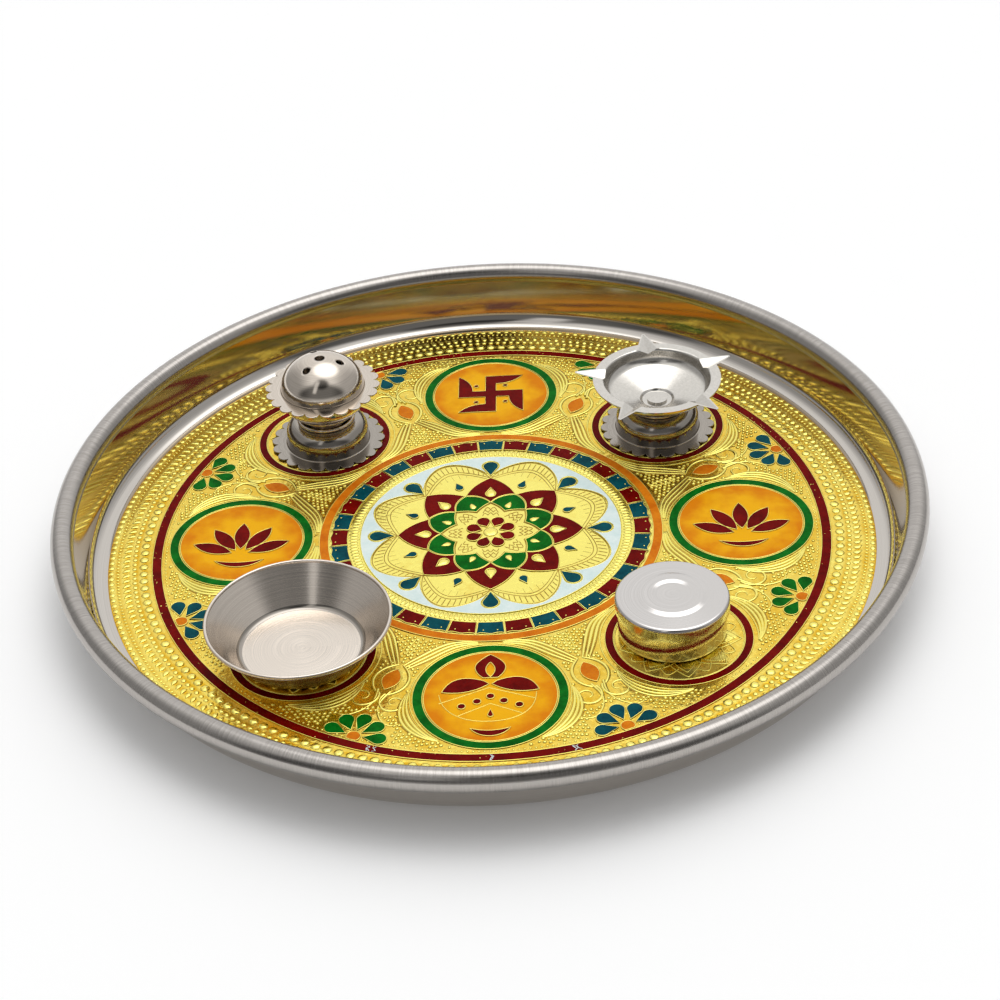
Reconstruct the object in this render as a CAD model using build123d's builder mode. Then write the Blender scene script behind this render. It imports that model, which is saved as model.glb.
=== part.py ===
from build123d import *
from math import acos, atan2, cos, degrees, hypot, pi, radians, sin, sqrt, tan
import os

# Puja thali: a spun steel tray, a gold foil disc with enamel fills, and loose steel vessels on its seats.
# Millimetres, +Z up, origin on the tray's axis at the underside of its floor.

# Tray
tray_diameter = 305.0
tray_height = 24.0
tray_sheet = 0.8
rim_bead_radius = 4.0
rim_overhang = 0.6
floor_cove_radius = 6.0
wall_lean_deg = 12.0
curl_gap_start_deg = 236.0
curl_gap_end_deg = 272.0

# Foil disc and its enamel
foil_margin = 0.58
foil_thickness = 0.3
foil_relief = 0.3
enamel_thickness = 0.25
gold_line = 0.5
overrun = 1.0

# Border: the plain rows at the foil's edge, the ring, and the half-daisies along it
border_rows_width = 15.5
border_ring_width = 3.4
daisy_count = 8
daisy_inset = 2.2
daisy_heart_radius = 2.3
daisy_petal_foot = 3.0
daisy_petal_length = 8.0
daisy_petal_half_width = 2.6
daisy_fan_deg = (-80.0, -40.0, 0.0, 40.0, 80.0)
bud_gap = 12.9
bud_length = 10.8
bud_half_width = 3.0

# Roundels and vessel seats, which fill the space between the medallion and the border
roundel_clearance = 2.3
roundel_ring_width = 3.2
seat_clearance = 3.1
seat_ring_width = 2.8
rosette_clearance = 1.7
rosette_petals = 9
rosette_hub_share = 0.25
rosette_half_width_share = 0.27

# Motifs of the roundels, as shares of the ground's radius
swastika_half_share = 0.57
swastika_bar_share = 0.19
swastika_foot_share = 0.56
swastika_tip_shares = (0.66, 0.68)
swastika_dot_share = 0.042
swastika_dot_place_share = 0.257
kalash_wing_shares = ((0.10, 0.33), (0.54, 0.36), (0.73, 0.10), (0.36, 0.09), (0.02, 0.26))
kalash_flame_shares = ((0.00, 0.94), (0.16, 0.80), (0.23, 0.66), (0.19, 0.50), (0.11, 0.40))
kalash_flame_heart_shares = (0.42, 0.76)
kalash_flame_heart_width_share = 0.07
kalash_dot_shares = ((0.0, -0.02), (0.20, -0.13), (-0.20, -0.13), (0.43, -0.23), (-0.43, -0.23))
kalash_dot_size_share = 0.06
kalash_drop_shares = (-0.48, -0.31)
kalash_drop_width_share = 0.042
kalash_foot_shares = ((-0.30, -0.72), (0.0, -0.90), (0.30, -0.72), (0.0, -0.78))
lotus_fan_deg = (22.0, 56.0, 90.0, 124.0, 158.0)
lotus_heart_share = 0.35
lotus_petal_shares = (0.147, 0.844)
lotus_petal_width_share = 0.128
lotus_base_shares = ((-0.40, -0.50), (0.0, -0.68), (0.40, -0.50), (0.0, -0.56))

# Medallion, as shares of its radius
medallion_share = 0.523
orange_ring_share = 0.946
tile_outer_share = 0.936
tile_inner_share = 0.836
tile_wave_share = 0.008
tile_count = 36
milled_band_shares = (0.769, 0.826)
petal_count = 8
button_share = 0.044
flower_petal_shares = (0.054, 0.149)
flower_petal_width_share = 0.039
gold_petal_shares = (0.284, 0.236, 0.210)
green_petal_shares = (0.387, 0.338, 0.285)
maroon_petal_shares = (0.541, 0.449, 0.387)
hatched_petal_shares = (0.738, 0.662, 0.554)
shoulder_turn_share = 0.64
blunt_turn_share = 0.60
big_drop_shares = (0.564, 0.708)
big_drop_width_share = 0.046
small_drop_shares = (0.541, 0.462)
small_drop_width_share = 0.025
gold_drop_shares = (0.443, 0.348)
gold_drop_width_share = 0.031

# Pedestal stamping shared by the incense holder and the lamp
pedestal_sheet = 0.6
pedestal_height = 10.0
pedestal_shoulder_radius = 15.1
pedestal_bulb_radius = 15.6
pedestal_shoulder_bend = 4.8
pedestal_flange_radius = 18.9
pedestal_scallops = 22
pedestal_scallop_radius = 2.7
pedestal_scallop_circle = 18.6
pedestal_foot_bend = 0.5
collar_radius = 10.9
collar_bead_radius = 0.8
rivet_radius = 2.4
rivet_clearance = 0.15
rivet_head_radius = 3.8
rivet_head_height = 0.8

# Incense holder
incense_shift_x = 1.5
incense_shift_y = -0.7
incense_neck_height = 4.4
incense_neck_waist = 7.6
incense_dome_radius = 15.5
incense_dome_height = 12.2
incense_centre_hole_radius = 1.9
incense_hole_radius = 1.5
incense_hole_circle = 7.5
incense_hole_count = 3
incense_hole_start_deg = -8.0

# Oil lamp
diya_shift_x = 0.0
diya_shift_y = -0.9
diya_collar_height = 1.6
diya_rivet_dish_radius = 5.5
diya_rivet_dish_depth = 0.8
diya_well_radius = 14.2
diya_well_rise = 3.1
diya_side_radius = 18.9
diya_side_rise = 4.4
diya_side_bend = 3.8
diya_mouth_radius = 19.8
diya_height = 21.8
diya_lip_radius = 23.7
diya_small_bend = 0.3
spout_count = 5
spout_start_deg = 24.6
spout_root_radius = 19.2
spout_tip_radius = 30.7
spout_half_width = 4.6
spout_depth = 2.6
spout_tip_half_width = 0.5

# Open bowl
bowl_shift_x = -0.4
bowl_shift_y = 1.6
bowl_rim_radius = 31.4
bowl_height = 14.0
bowl_floor_radius = 19.6
bowl_cove_radius = 2.4
bowl_sheet = 0.7
bowl_lip_radius = 0.6

# Kumkum box
kumkum_shift_x = -2.0
kumkum_shift_y = 3.2
kumkum_sheet = 0.5
kumkum_lid_radius = 19.05
kumkum_height = 15.6
kumkum_corner_bend = 2.0
kumkum_skirt = 5.0
kumkum_lid_clearance = 0.35
kumkum_lid_bend = 0.25
kumkum_plateau_radius = 11.8
kumkum_plateau_rise = 0.5
kumkum_recess_radius = 7.4
kumkum_recess_depth = 0.35
kumkum_step = 0.4

# Levels and fits that follow from the values above
foil_top = tray_sheet + foil_thickness
seat_top = foil_top + foil_relief
motif_level = foil_top + enamel_thickness
wall_lean = radians(wall_lean_deg)
bead_circle_radius = tray_diameter / 2 - rim_bead_radius
bead_level = tray_height - rim_bead_radius
rivet_bore = rivet_radius + rivet_clearance
petal_step_deg = 360 / petal_count
kumkum_wall_radius = kumkum_lid_radius - kumkum_sheet - kumkum_lid_clearance

# Wall of the tray, up to where its sheet runs into the rolled rim
bead_inset = rim_bead_radius - rim_overhang
sheet_middle = bead_inset - tray_sheet / 2
wall_reach = sqrt((rim_bead_radius - tray_sheet / 2) ** 2 - sheet_middle**2)
wall_end = (
    bead_circle_radius - bead_inset * cos(wall_lean) - wall_reach * sin(wall_lean),
    bead_level + bead_inset * sin(wall_lean) - wall_reach * cos(wall_lean),
)
wall_length = (wall_end[1] - tray_sheet) / cos(wall_lean)
wall_foot = (wall_end[0] - wall_length * sin(wall_lean), tray_sheet)

# Layout of the foil, from its edge inward
cove_reach = floor_cove_radius * tan(pi / 4 - wall_lean / 2)
foil_radius = wall_foot[0] - cove_reach - foil_margin
border_ring_outer = foil_radius - border_rows_width
border_ring_inner = border_ring_outer - border_ring_width
daisy_circle_radius = border_ring_inner - daisy_inset
daisy_petal_tip = daisy_petal_foot + daisy_petal_length
bud_circle_radius = daisy_circle_radius - daisy_petal_tip - bud_gap - bud_length / 2
medallion_radius = border_ring_inner * medallion_share
space_width = border_ring_inner - medallion_radius
space_circle_radius = medallion_radius + space_width / 2
roundel_radius = space_width / 2 - roundel_clearance
roundel_ring_inner = roundel_radius - roundel_ring_width
roundel_ground_radius = roundel_ring_inner - gold_line
seat_radius = space_width / 2 - seat_clearance
seat_ring_inner = seat_radius - seat_ring_width
seat_pitch = space_circle_radius / sqrt(2)
rosette_radius = seat_ring_inner - rosette_clearance
seats = {
    "incense": (-seat_pitch + incense_shift_x, seat_pitch + incense_shift_y),
    "diya": (seat_pitch + diya_shift_x, seat_pitch + diya_shift_y),
    "bowl": (-seat_pitch + bowl_shift_x, -seat_pitch + bowl_shift_y),
    "kumkum": (seat_pitch + kumkum_shift_x, -seat_pitch + kumkum_shift_y),
}

os.makedirs("parts", exist_ok=True)


def save(solid, name):
    """Label a finished sub-part and write it to its own STEP file."""
    solid.label = name
    export_step(solid, "parts/" + name + ".step")


def polar(radius, angle_deg):
    """Point at a radius and an angle in degrees."""
    return (radius * cos(radians(angle_deg)), radius * sin(radians(angle_deg)))


def upright(seat=(0, 0), level=0):
    """Sketch plane through an upright axis: its x runs outward, its y runs up from the level."""
    return Plane(origin=(*seat, level), x_dir=(1, 0, 0), z_dir=(0, -1, 0))


def upright_axis(seat=(0, 0)):
    """Upright axis through a seat."""
    return Axis((*seat, 0), (0, 0, 1))


def sheet_section(path, bends, sheet, top=None):
    """Closed sheet section: the path is one face and the sheet lies to its right; top turns it over.

    A bend is the radius on the hollow side of its corner, and the other side gets the sheet more.
    """
    right_side = []
    path_radii = []
    right_radii = []
    for index, (x, y) in enumerate(path):
        before = path[index - 1] if index else (x, y)
        after = path[index + 1] if index + 1 < len(path) else (x, y)
        first = unit(before, (x, y)) if index else unit((x, y), after)
        second = unit((x, y), after) if index + 1 < len(path) else first
        turn = first[0] * second[1] - first[1] * second[0]
        spread = 1 + first[0] * second[0] + first[1] * second[1]
        shift_x = sheet * (first[1] + second[1]) / spread
        shift_y = -sheet * (first[0] + second[0]) / spread
        right_side.append((x + shift_x, y + shift_y))
        bend = bends[index]
        path_radii.append(bend + sheet if bend and turn < 0 else bend)
        right_radii.append(bend + sheet if bend and turn > 0 else bend)
    points = list(path) + right_side[::-1]
    if top is not None:
        points = [(x, top - y) for x, y in points]
    with BuildSketch(mode=Mode.PRIVATE) as section:
        with BuildLine():
            FilletPolyline(*points, radius=path_radii + right_radii[::-1], close=True)
        make_face()
    return section.sketch


def unit(start, end):
    """Unit vector from one point to another."""
    length = hypot(end[0] - start[0], end[1] - start[1])
    return ((end[0] - start[0]) / length, (end[1] - start[1]) / length)


def leaf(foot, tip, half_width):
    """Leaf along +X, pointed at both ends."""
    with BuildSketch(mode=Mode.PRIVATE) as shape:
        with BuildLine():
            Spline((foot, 0), ((foot + tip) / 2, half_width), (tip, 0))
            Spline((foot, 0), ((foot + tip) / 2, -half_width), (tip, 0))
        make_face()
    return shape.sketch


def drop(tip, end, half_width):
    """Drop along +X: a point at the tip and a round end of the given half width."""
    heading = 1 if end > tip else -1
    centre = end - heading * half_width
    lean = acos(half_width / abs(centre - tip))
    touch_x = centre - heading * half_width * cos(lean)
    touch_y = half_width * sin(lean)
    with BuildSketch(mode=Mode.PRIVATE) as shape:
        with BuildLine():
            Polyline((touch_x, touch_y), (tip, 0), (touch_x, -touch_y))
            ThreePointArc((touch_x, -touch_y), (end, 0), (touch_x, touch_y))
        make_face()
    return shape.sketch


def petal_star(shares, start_deg, turn_share, grow=0, blunt=False):
    """Ring of petals as one outline, each from its meeting points past its shoulders to its tip."""
    tip, shoulder, meet = [share * medallion_radius + grow for share in shares]
    half_deg = petal_step_deg / 2
    with BuildSketch(mode=Mode.PRIVATE) as star:
        with BuildLine():
            for index in range(petal_count):
                middle = start_deg + index * petal_step_deg
                left = [polar(meet, middle - half_deg), polar(shoulder, middle - half_deg * turn_share)]
                right = [polar(shoulder, middle + half_deg * turn_share), polar(meet, middle + half_deg)]
                if blunt:
                    Spline(*left, polar(tip, middle), *right)
                else:
                    Spline(*left, polar(tip, middle))
                    Spline(polar(tip, middle), *right)
        make_face()
    return star.sketch


def medallion_drop(shares, width_share, grow=0):
    """Drop of the medallion from its tip and end shares, grown all round by a margin."""
    tip, end = [share * medallion_radius for share in shares]
    heading = 1 if end > tip else -1
    return drop(tip - heading * grow * 2, end + heading * grow, width_share * medallion_radius + grow)


def crescent(shares, size):
    """Crescent through its left end, outer middle, right end and inner middle."""
    left, outer, right, inner = [(x * size, y * size) for x, y in shares]
    with BuildSketch(mode=Mode.PRIVATE) as shape:
        with BuildLine():
            ThreePointArc(left, outer, right)
            ThreePointArc(right, inner, left)
        make_face()
    return shape.sketch


# Tray: floor, cove and wall as one sheet, joined to the rolled rim
with BuildPart() as thali_tray:
    with BuildSketch(upright()):
        with Locations((bead_circle_radius, bead_level)):
            Circle(rim_bead_radius)
            Circle(rim_bead_radius - tray_sheet, mode=Mode.SUBTRACT)
            Polygon(
                (0, 0),
                polar(rim_bead_radius + overrun, curl_gap_start_deg),
                polar(rim_bead_radius + overrun, curl_gap_end_deg),
                align=None,
                mode=Mode.SUBTRACT,
            )
        add(sheet_section([(0, tray_sheet), wall_foot, wall_end], [0, floor_cove_radius, 0], tray_sheet))
    revolve(axis=Axis.Z)
save(thali_tray.part, "thali_tray")

# Gold foil with raised rosettes under the vessels and a raised band and button in the medallion
with BuildPart() as gold_foil:
    with BuildSketch(Plane.XY.offset(tray_sheet)):
        Circle(foil_radius)
    extrude(amount=foil_thickness)
    with BuildSketch(Plane.XY.offset(foil_top)):
        with GridLocations(2 * seat_pitch, 2 * seat_pitch, 2, 2):
            Circle(rosette_radius * rosette_hub_share)
            with PolarLocations(0, rosette_petals):
                add(leaf(0, rosette_radius, rosette_radius * rosette_half_width_share))
        Circle(medallion_radius * milled_band_shares[1])
        Circle(medallion_radius * milled_band_shares[0], mode=Mode.SUBTRACT)
        Circle(medallion_radius * button_share)
    extrude(amount=foil_relief)
save(gold_foil.part, "gold_foil")

# Enamel rings
with BuildPart() as border_ring:
    with BuildSketch(Plane.XY.offset(foil_top)):
        Circle(border_ring_outer)
        Circle(border_ring_inner, mode=Mode.SUBTRACT)
    extrude(amount=enamel_thickness)
save(border_ring.part, "border_ring")

with BuildPart() as seat_rings:
    with BuildSketch(Plane.XY.offset(foil_top)):
        with GridLocations(2 * seat_pitch, 2 * seat_pitch, 2, 2):
            Circle(seat_radius)
            Circle(seat_ring_inner, mode=Mode.SUBTRACT)
    extrude(amount=enamel_thickness)
save(seat_rings.part, "seat_rings")

with BuildPart() as roundel_rings:
    with BuildSketch(Plane.XY.offset(foil_top)):
        with PolarLocations(space_circle_radius, 4):
            Circle(roundel_radius)
            Circle(roundel_ring_inner, mode=Mode.SUBTRACT)
    extrude(amount=enamel_thickness)
save(roundel_rings.part, "roundel_rings")

with BuildPart() as roundel_grounds:
    with BuildSketch(Plane.XY.offset(foil_top)):
        with PolarLocations(space_circle_radius, 4):
            Circle(roundel_ground_radius)
    extrude(amount=enamel_thickness)
save(roundel_grounds.part, "roundel_grounds")

with BuildPart() as orange_ring:
    with BuildSketch(Plane.XY.offset(foil_top)):
        Circle(medallion_radius)
        Circle(medallion_radius * orange_ring_share, mode=Mode.SUBTRACT)
    extrude(amount=enamel_thickness)
save(orange_ring.part, "orange_ring")

# Swastika of the far roundel: a cross of bars whose ends turn and taper, with a dot in each quarter
swastika_half_span = roundel_ground_radius * swastika_half_share
bar_half = roundel_ground_radius * swastika_bar_share / 2
bend_foot = swastika_half_span * swastika_foot_share
dot_place = roundel_ground_radius * swastika_dot_place_share
with BuildSketch(mode=Mode.PRIVATE) as swastika_arm:
    with BuildLine():
        Polyline(
            (bar_half, bend_foot),
            (bar_half, 0),
            (-bar_half, 0),
            (-bar_half, swastika_half_span),
            (swastika_half_span, swastika_half_span),
        )
        Spline(
            (swastika_half_span, swastika_half_span),
            (swastika_half_span * swastika_tip_shares[0], swastika_half_span * swastika_tip_shares[1]),
            (bar_half, bend_foot),
        )
    make_face()

with BuildPart() as swastika_motif:
    with BuildSketch(Plane.XY.offset(motif_level)):
        with Locations((0, space_circle_radius)):
            with PolarLocations(0, 4):
                add(swastika_arm.sketch)
            with GridLocations(2 * dot_place, 2 * dot_place, 2, 2):
                Circle(roundel_ground_radius * swastika_dot_share)
    extrude(amount=enamel_thickness)
save(swastika_motif.part, "swastika_motif")

# Pot-and-flame motif of the near roundel
wing_points = [(x * roundel_ground_radius, y * roundel_ground_radius) for x, y in kalash_wing_shares]
flame_points = [(x * roundel_ground_radius, y * roundel_ground_radius) for x, y in kalash_flame_shares]
kalash_dots = [(x * roundel_ground_radius, y * roundel_ground_radius) for x, y in kalash_dot_shares]
flame_heart_foot = roundel_ground_radius * kalash_flame_heart_shares[0]
flame_heart_tip = roundel_ground_radius * kalash_flame_heart_shares[1]
kalash_drop_end = roundel_ground_radius * kalash_drop_shares[0]
kalash_drop_tip = roundel_ground_radius * kalash_drop_shares[1]

with BuildSketch(mode=Mode.PRIVATE) as kalash_wing:
    with BuildLine():
        Spline(*wing_points[:3])
        Spline(*wing_points[2:])
        Line(wing_points[-1], wing_points[0])
    make_face()

with BuildSketch(mode=Mode.PRIVATE) as kalash_flame:
    with BuildLine():
        Spline(*flame_points)
        Spline(*[(-x, y) for x, y in flame_points])
        Line(flame_points[-1], (-flame_points[-1][0], flame_points[-1][1]))
    make_face()
    add(
        leaf(flame_heart_foot, flame_heart_tip, roundel_ground_radius * kalash_flame_heart_width_share),
        rotation=90,
        mode=Mode.SUBTRACT,
    )

with BuildPart() as kalash_motif:
    with BuildSketch(Plane.XY.offset(motif_level)):
        with Locations((0, -space_circle_radius)):
            add(kalash_wing.sketch)
            add(mirror(kalash_wing.sketch, about=Plane.YZ, mode=Mode.PRIVATE))
            add(kalash_flame.sketch)
            add(
                drop(kalash_drop_tip, kalash_drop_end, roundel_ground_radius * kalash_drop_width_share),
                rotation=90,
            )
            add(crescent(kalash_foot_shares, roundel_ground_radius))
            with Locations(*kalash_dots):
                Circle(roundel_ground_radius * kalash_dot_size_share)
    extrude(amount=enamel_thickness)
save(kalash_motif.part, "kalash_motif")

# Lotus motif of the left and right roundels
lotus_petal = leaf(
    roundel_ground_radius * lotus_petal_shares[0],
    roundel_ground_radius * lotus_petal_shares[1],
    roundel_ground_radius * lotus_petal_width_share,
)
with BuildSketch(mode=Mode.PRIVATE) as lotus:
    with Locations((0, -roundel_ground_radius * lotus_heart_share)):
        for fan_deg in lotus_fan_deg:
            add(lotus_petal, rotation=fan_deg)
    add(crescent(lotus_base_shares, roundel_ground_radius))

with BuildPart() as lotus_motifs:
    with BuildSketch(Plane.XY.offset(motif_level)):
        with GridLocations(2 * space_circle_radius, 0, 2, 1):
            add(lotus.sketch)
    extrude(amount=enamel_thickness)
save(lotus_motifs.part, "lotus_motifs")

# Medallion, from the outside in
tile_inner = medallion_radius * tile_inner_share
tile_outer = medallion_radius * tile_outer_share
tile_wave = medallion_radius * tile_wave_share
tile_half_deg = 180 / tile_count
inner_half_deg = tile_half_deg - degrees(gold_line / 2 / tile_inner)
outer_half_deg = tile_half_deg - degrees(gold_line / 2 / tile_outer)
with BuildSketch(mode=Mode.PRIVATE) as tile:
    with BuildLine():
        Line(polar(tile_inner, -inner_half_deg), polar(tile_outer, -outer_half_deg))
        Spline(
            polar(tile_outer, -outer_half_deg),
            polar(tile_outer - tile_wave, -tile_half_deg / 2),
            polar(tile_outer, 0),
            polar(tile_outer - tile_wave, tile_half_deg / 2),
            polar(tile_outer, outer_half_deg),
        )
        Line(polar(tile_outer, outer_half_deg), polar(tile_inner, inner_half_deg))
        ThreePointArc(polar(tile_inner, inner_half_deg), (tile_inner, 0), polar(tile_inner, -inner_half_deg))
    make_face()

with BuildPart() as maroon_tiles:
    with BuildSketch(Plane.XY.offset(foil_top)):
        with PolarLocations(0, tile_count // 2):
            add(tile.sketch)
    extrude(amount=enamel_thickness)
save(maroon_tiles.part, "maroon_tiles")

with BuildPart() as blue_tiles:
    with BuildSketch(Plane.XY.offset(foil_top)):
        with PolarLocations(0, tile_count // 2, start_angle=360 / tile_count):
            add(tile.sketch)
    extrude(amount=enamel_thickness)
save(blue_tiles.part, "blue_tiles")

with BuildPart() as pale_ground:
    with BuildSketch(Plane.XY.offset(foil_top)):
        Circle(medallion_radius * milled_band_shares[0] - gold_line)
        add(
            petal_star(hatched_petal_shares, petal_step_deg / 2, blunt_turn_share, blunt=True),
            mode=Mode.SUBTRACT,
        )
        with PolarLocations(0, petal_count):
            add(medallion_drop(big_drop_shares, big_drop_width_share, grow=gold_line), mode=Mode.SUBTRACT)
    extrude(amount=enamel_thickness)
save(pale_ground.part, "pale_ground")

with BuildPart() as maroon_petals:
    with BuildSketch(Plane.XY.offset(foil_top)):
        add(petal_star(maroon_petal_shares, 0, shoulder_turn_share))
        add(
            petal_star(green_petal_shares, petal_step_deg / 2, shoulder_turn_share, grow=gold_line),
            mode=Mode.SUBTRACT,
        )
        with PolarLocations(0, petal_count):
            add(medallion_drop(gold_drop_shares, gold_drop_width_share), mode=Mode.SUBTRACT)
    extrude(amount=enamel_thickness)
save(maroon_petals.part, "maroon_petals")

with BuildPart() as green_petals:
    with BuildSketch(Plane.XY.offset(foil_top)):
        add(petal_star(green_petal_shares, petal_step_deg / 2, shoulder_turn_share))
        add(petal_star(gold_petal_shares, 0, shoulder_turn_share, grow=gold_line), mode=Mode.SUBTRACT)
    extrude(amount=enamel_thickness)
save(green_petals.part, "green_petals")

with BuildPart() as centre_flower:
    with BuildSketch(Plane.XY.offset(foil_top)):
        with PolarLocations(0, petal_count, start_angle=petal_step_deg / 2):
            add(medallion_drop(flower_petal_shares, flower_petal_width_share))
    extrude(amount=enamel_thickness)
save(centre_flower.part, "centre_flower")

with BuildPart() as blue_drops:
    with BuildSketch(Plane.XY.offset(foil_top)):
        with PolarLocations(0, petal_count):
            add(medallion_drop(big_drop_shares, big_drop_width_share))
        with PolarLocations(0, petal_count, start_angle=petal_step_deg / 2):
            add(medallion_drop(small_drop_shares, small_drop_width_share))
    extrude(amount=enamel_thickness)
save(blue_drops.part, "blue_drops")

# Half-daisies along the border ring and the buds of the scrollwork
with BuildSketch(mode=Mode.PRIVATE) as daisy:
    for fan_deg in daisy_fan_deg:
        add(drop(daisy_petal_foot, daisy_petal_tip, daisy_petal_half_width), rotation=180 + fan_deg)

daisy_step_deg = 360 / daisy_count
with BuildPart() as blue_flowers:
    with BuildSketch(Plane.XY.offset(foil_top)):
        with PolarLocations(daisy_circle_radius, daisy_count // 2, start_angle=daisy_step_deg / 2):
            add(daisy.sketch)
    extrude(amount=enamel_thickness)
save(blue_flowers.part, "blue_flowers")

with BuildPart() as green_flowers:
    with BuildSketch(Plane.XY.offset(foil_top)):
        with PolarLocations(daisy_circle_radius, daisy_count // 2, start_angle=daisy_step_deg * 3 / 2):
            add(daisy.sketch)
    extrude(amount=enamel_thickness)
save(green_flowers.part, "green_flowers")

with BuildPart() as flower_centres:
    with BuildSketch(Plane.XY.offset(foil_top)):
        with PolarLocations(daisy_circle_radius, daisy_count, start_angle=daisy_step_deg / 2):
            Circle(daisy_heart_radius)
        Circle(border_ring_inner - gold_line, mode=Mode.INTERSECT)
    extrude(amount=enamel_thickness)
save(flower_centres.part, "flower_centres")

with BuildPart() as leaf_buds:
    with BuildSketch(Plane.XY.offset(foil_top)):
        with PolarLocations(bud_circle_radius, daisy_count, start_angle=daisy_step_deg / 2):
            add(leaf(-bud_length / 2, bud_length / 2, bud_half_width))
    extrude(amount=enamel_thickness)
save(leaf_buds.part, "leaf_buds")


def pedestal(seat, level, turned_over=False):
    """Pedestal stamping with a flat crown and a scalloped flange, standing on a level or turned over."""
    path = [
        (rivet_bore, pedestal_height),
        (pedestal_shoulder_radius, pedestal_height),
        (pedestal_bulb_radius, pedestal_sheet),
        (pedestal_flange_radius, pedestal_sheet),
    ]
    bends = [0, pedestal_shoulder_bend, pedestal_foot_bend, 0]
    turned_top = pedestal_height if turned_over else None
    flange_level = level + pedestal_height - pedestal_sheet if turned_over else level
    with BuildPart() as stamping:
        with BuildSketch(upright(seat, level)):
            add(sheet_section(path, bends, pedestal_sheet, top=turned_top))
        revolve(axis=upright_axis(seat))
        with BuildSketch(Plane((*seat, flange_level))):
            with PolarLocations(pedestal_scallop_circle, pedestal_scallops):
                Circle(pedestal_scallop_radius)
            Circle(pedestal_flange_radius)
            Circle(pedestal_bulb_radius + pedestal_foot_bend, mode=Mode.SUBTRACT)
        extrude(amount=pedestal_sheet)
    return stamping.part


def rivet(seat, bottom, top):
    """Rivet with a flat head below the bottom level and another above the top level."""
    with BuildPart() as pin:
        with BuildSketch(upright(seat)):
            with BuildLine():
                Polyline(
                    (0, bottom - rivet_head_height),
                    (rivet_head_radius, bottom - rivet_head_height),
                    (rivet_head_radius, bottom),
                    (rivet_radius, bottom),
                    (rivet_radius, top),
                    (rivet_head_radius, top),
                    (rivet_head_radius, top + rivet_head_height),
                    (0, top + rivet_head_height),
                    (0, bottom - rivet_head_height),
                )
            make_face()
        revolve(axis=upright_axis(seat))
    return pin.part


# Incense holder: two pedestal stampings mouth to mouth on a waisted neck, closed by a pierced dome
crown_level = seat_top + pedestal_height
incense_dish_level = crown_level + incense_neck_height
dome_level = incense_dish_level + pedestal_height
collar_seat_radius = collar_radius - collar_bead_radius

save(pedestal(seats["incense"], seat_top), "incense_foot")
save(pedestal(seats["incense"], incense_dish_level, turned_over=True), "incense_dish")
save(
    rivet(seats["incense"], crown_level - pedestal_sheet, incense_dish_level + pedestal_sheet),
    "incense_rivet",
)

with BuildPart() as incense_neck:
    with BuildSketch(upright(seats["incense"], crown_level)):
        with BuildLine():
            Line((rivet_bore, 0), (collar_seat_radius, 0))
            ThreePointArc(
                (collar_seat_radius, 0),
                (collar_radius, collar_bead_radius),
                (collar_seat_radius, 2 * collar_bead_radius),
            )
            Polyline(
                (collar_seat_radius, 2 * collar_bead_radius),
                (incense_neck_waist, 2 * collar_bead_radius),
                (incense_neck_waist, incense_neck_height - 2 * collar_bead_radius),
                (collar_seat_radius, incense_neck_height - 2 * collar_bead_radius),
            )
            ThreePointArc(
                (collar_seat_radius, incense_neck_height - 2 * collar_bead_radius),
                (collar_radius, incense_neck_height - collar_bead_radius),
                (collar_seat_radius, incense_neck_height),
            )
            Polyline(
                (collar_seat_radius, incense_neck_height),
                (rivet_bore, incense_neck_height),
                (rivet_bore, 0),
            )
        make_face()
    revolve(axis=upright_axis(seats["incense"]))
save(incense_neck.part, "incense_neck")

with BuildPart() as incense_dome:
    with BuildSketch(upright(seats["incense"], dome_level)):
        Ellipse(incense_dome_radius, incense_dome_height)
        Ellipse(
            incense_dome_radius - pedestal_sheet,
            incense_dome_height - pedestal_sheet,
            mode=Mode.SUBTRACT,
        )
        Rectangle(
            incense_dome_radius + overrun,
            incense_dome_height + overrun,
            align=(Align.MIN, Align.MIN),
            mode=Mode.INTERSECT,
        )
    revolve(axis=upright_axis(seats["incense"]))
    with BuildSketch(Plane((*seats["incense"], dome_level + incense_dome_height / 2))):
        Circle(incense_centre_hole_radius)
        with PolarLocations(incense_hole_circle, incense_hole_count, start_angle=incense_hole_start_deg):
            Circle(incense_hole_radius)
    extrude(amount=incense_dome_height, mode=Mode.SUBTRACT)
save(incense_dome.part, "incense_dome")

# Oil lamp: pedestal stamping, collar ring, and a bowl with a flat lip drawn out into spouts
diya_floor = pedestal_height + diya_collar_height + pedestal_sheet
save(pedestal(seats["diya"], seat_top), "diya_foot")
save(rivet(seats["diya"], crown_level - pedestal_sheet, seat_top + diya_floor), "diya_rivet")

with BuildPart() as diya_collar:
    with BuildSketch(upright(seats["diya"], crown_level)):
        with BuildLine():
            Polyline(
                (collar_seat_radius, diya_collar_height),
                (rivet_bore, diya_collar_height),
                (rivet_bore, 0),
                (collar_seat_radius, 0),
            )
            ThreePointArc(
                (collar_seat_radius, 0),
                (collar_radius, diya_collar_height / 2),
                (collar_seat_radius, diya_collar_height),
            )
        make_face()
    revolve(axis=upright_axis(seats["diya"]))
save(diya_collar.part, "diya_collar")

diya_path = [
    (rivet_bore, diya_floor),
    (diya_rivet_dish_radius, diya_floor),
    (diya_rivet_dish_radius + diya_rivet_dish_depth, diya_floor + diya_rivet_dish_depth),
    (diya_well_radius, diya_floor + diya_well_rise),
    (diya_side_radius, diya_floor + diya_side_rise),
    (diya_mouth_radius, diya_height),
    (diya_lip_radius, diya_height),
]
diya_bends = [0, diya_small_bend, diya_small_bend, diya_small_bend, diya_side_bend, diya_small_bend, 0]


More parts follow.
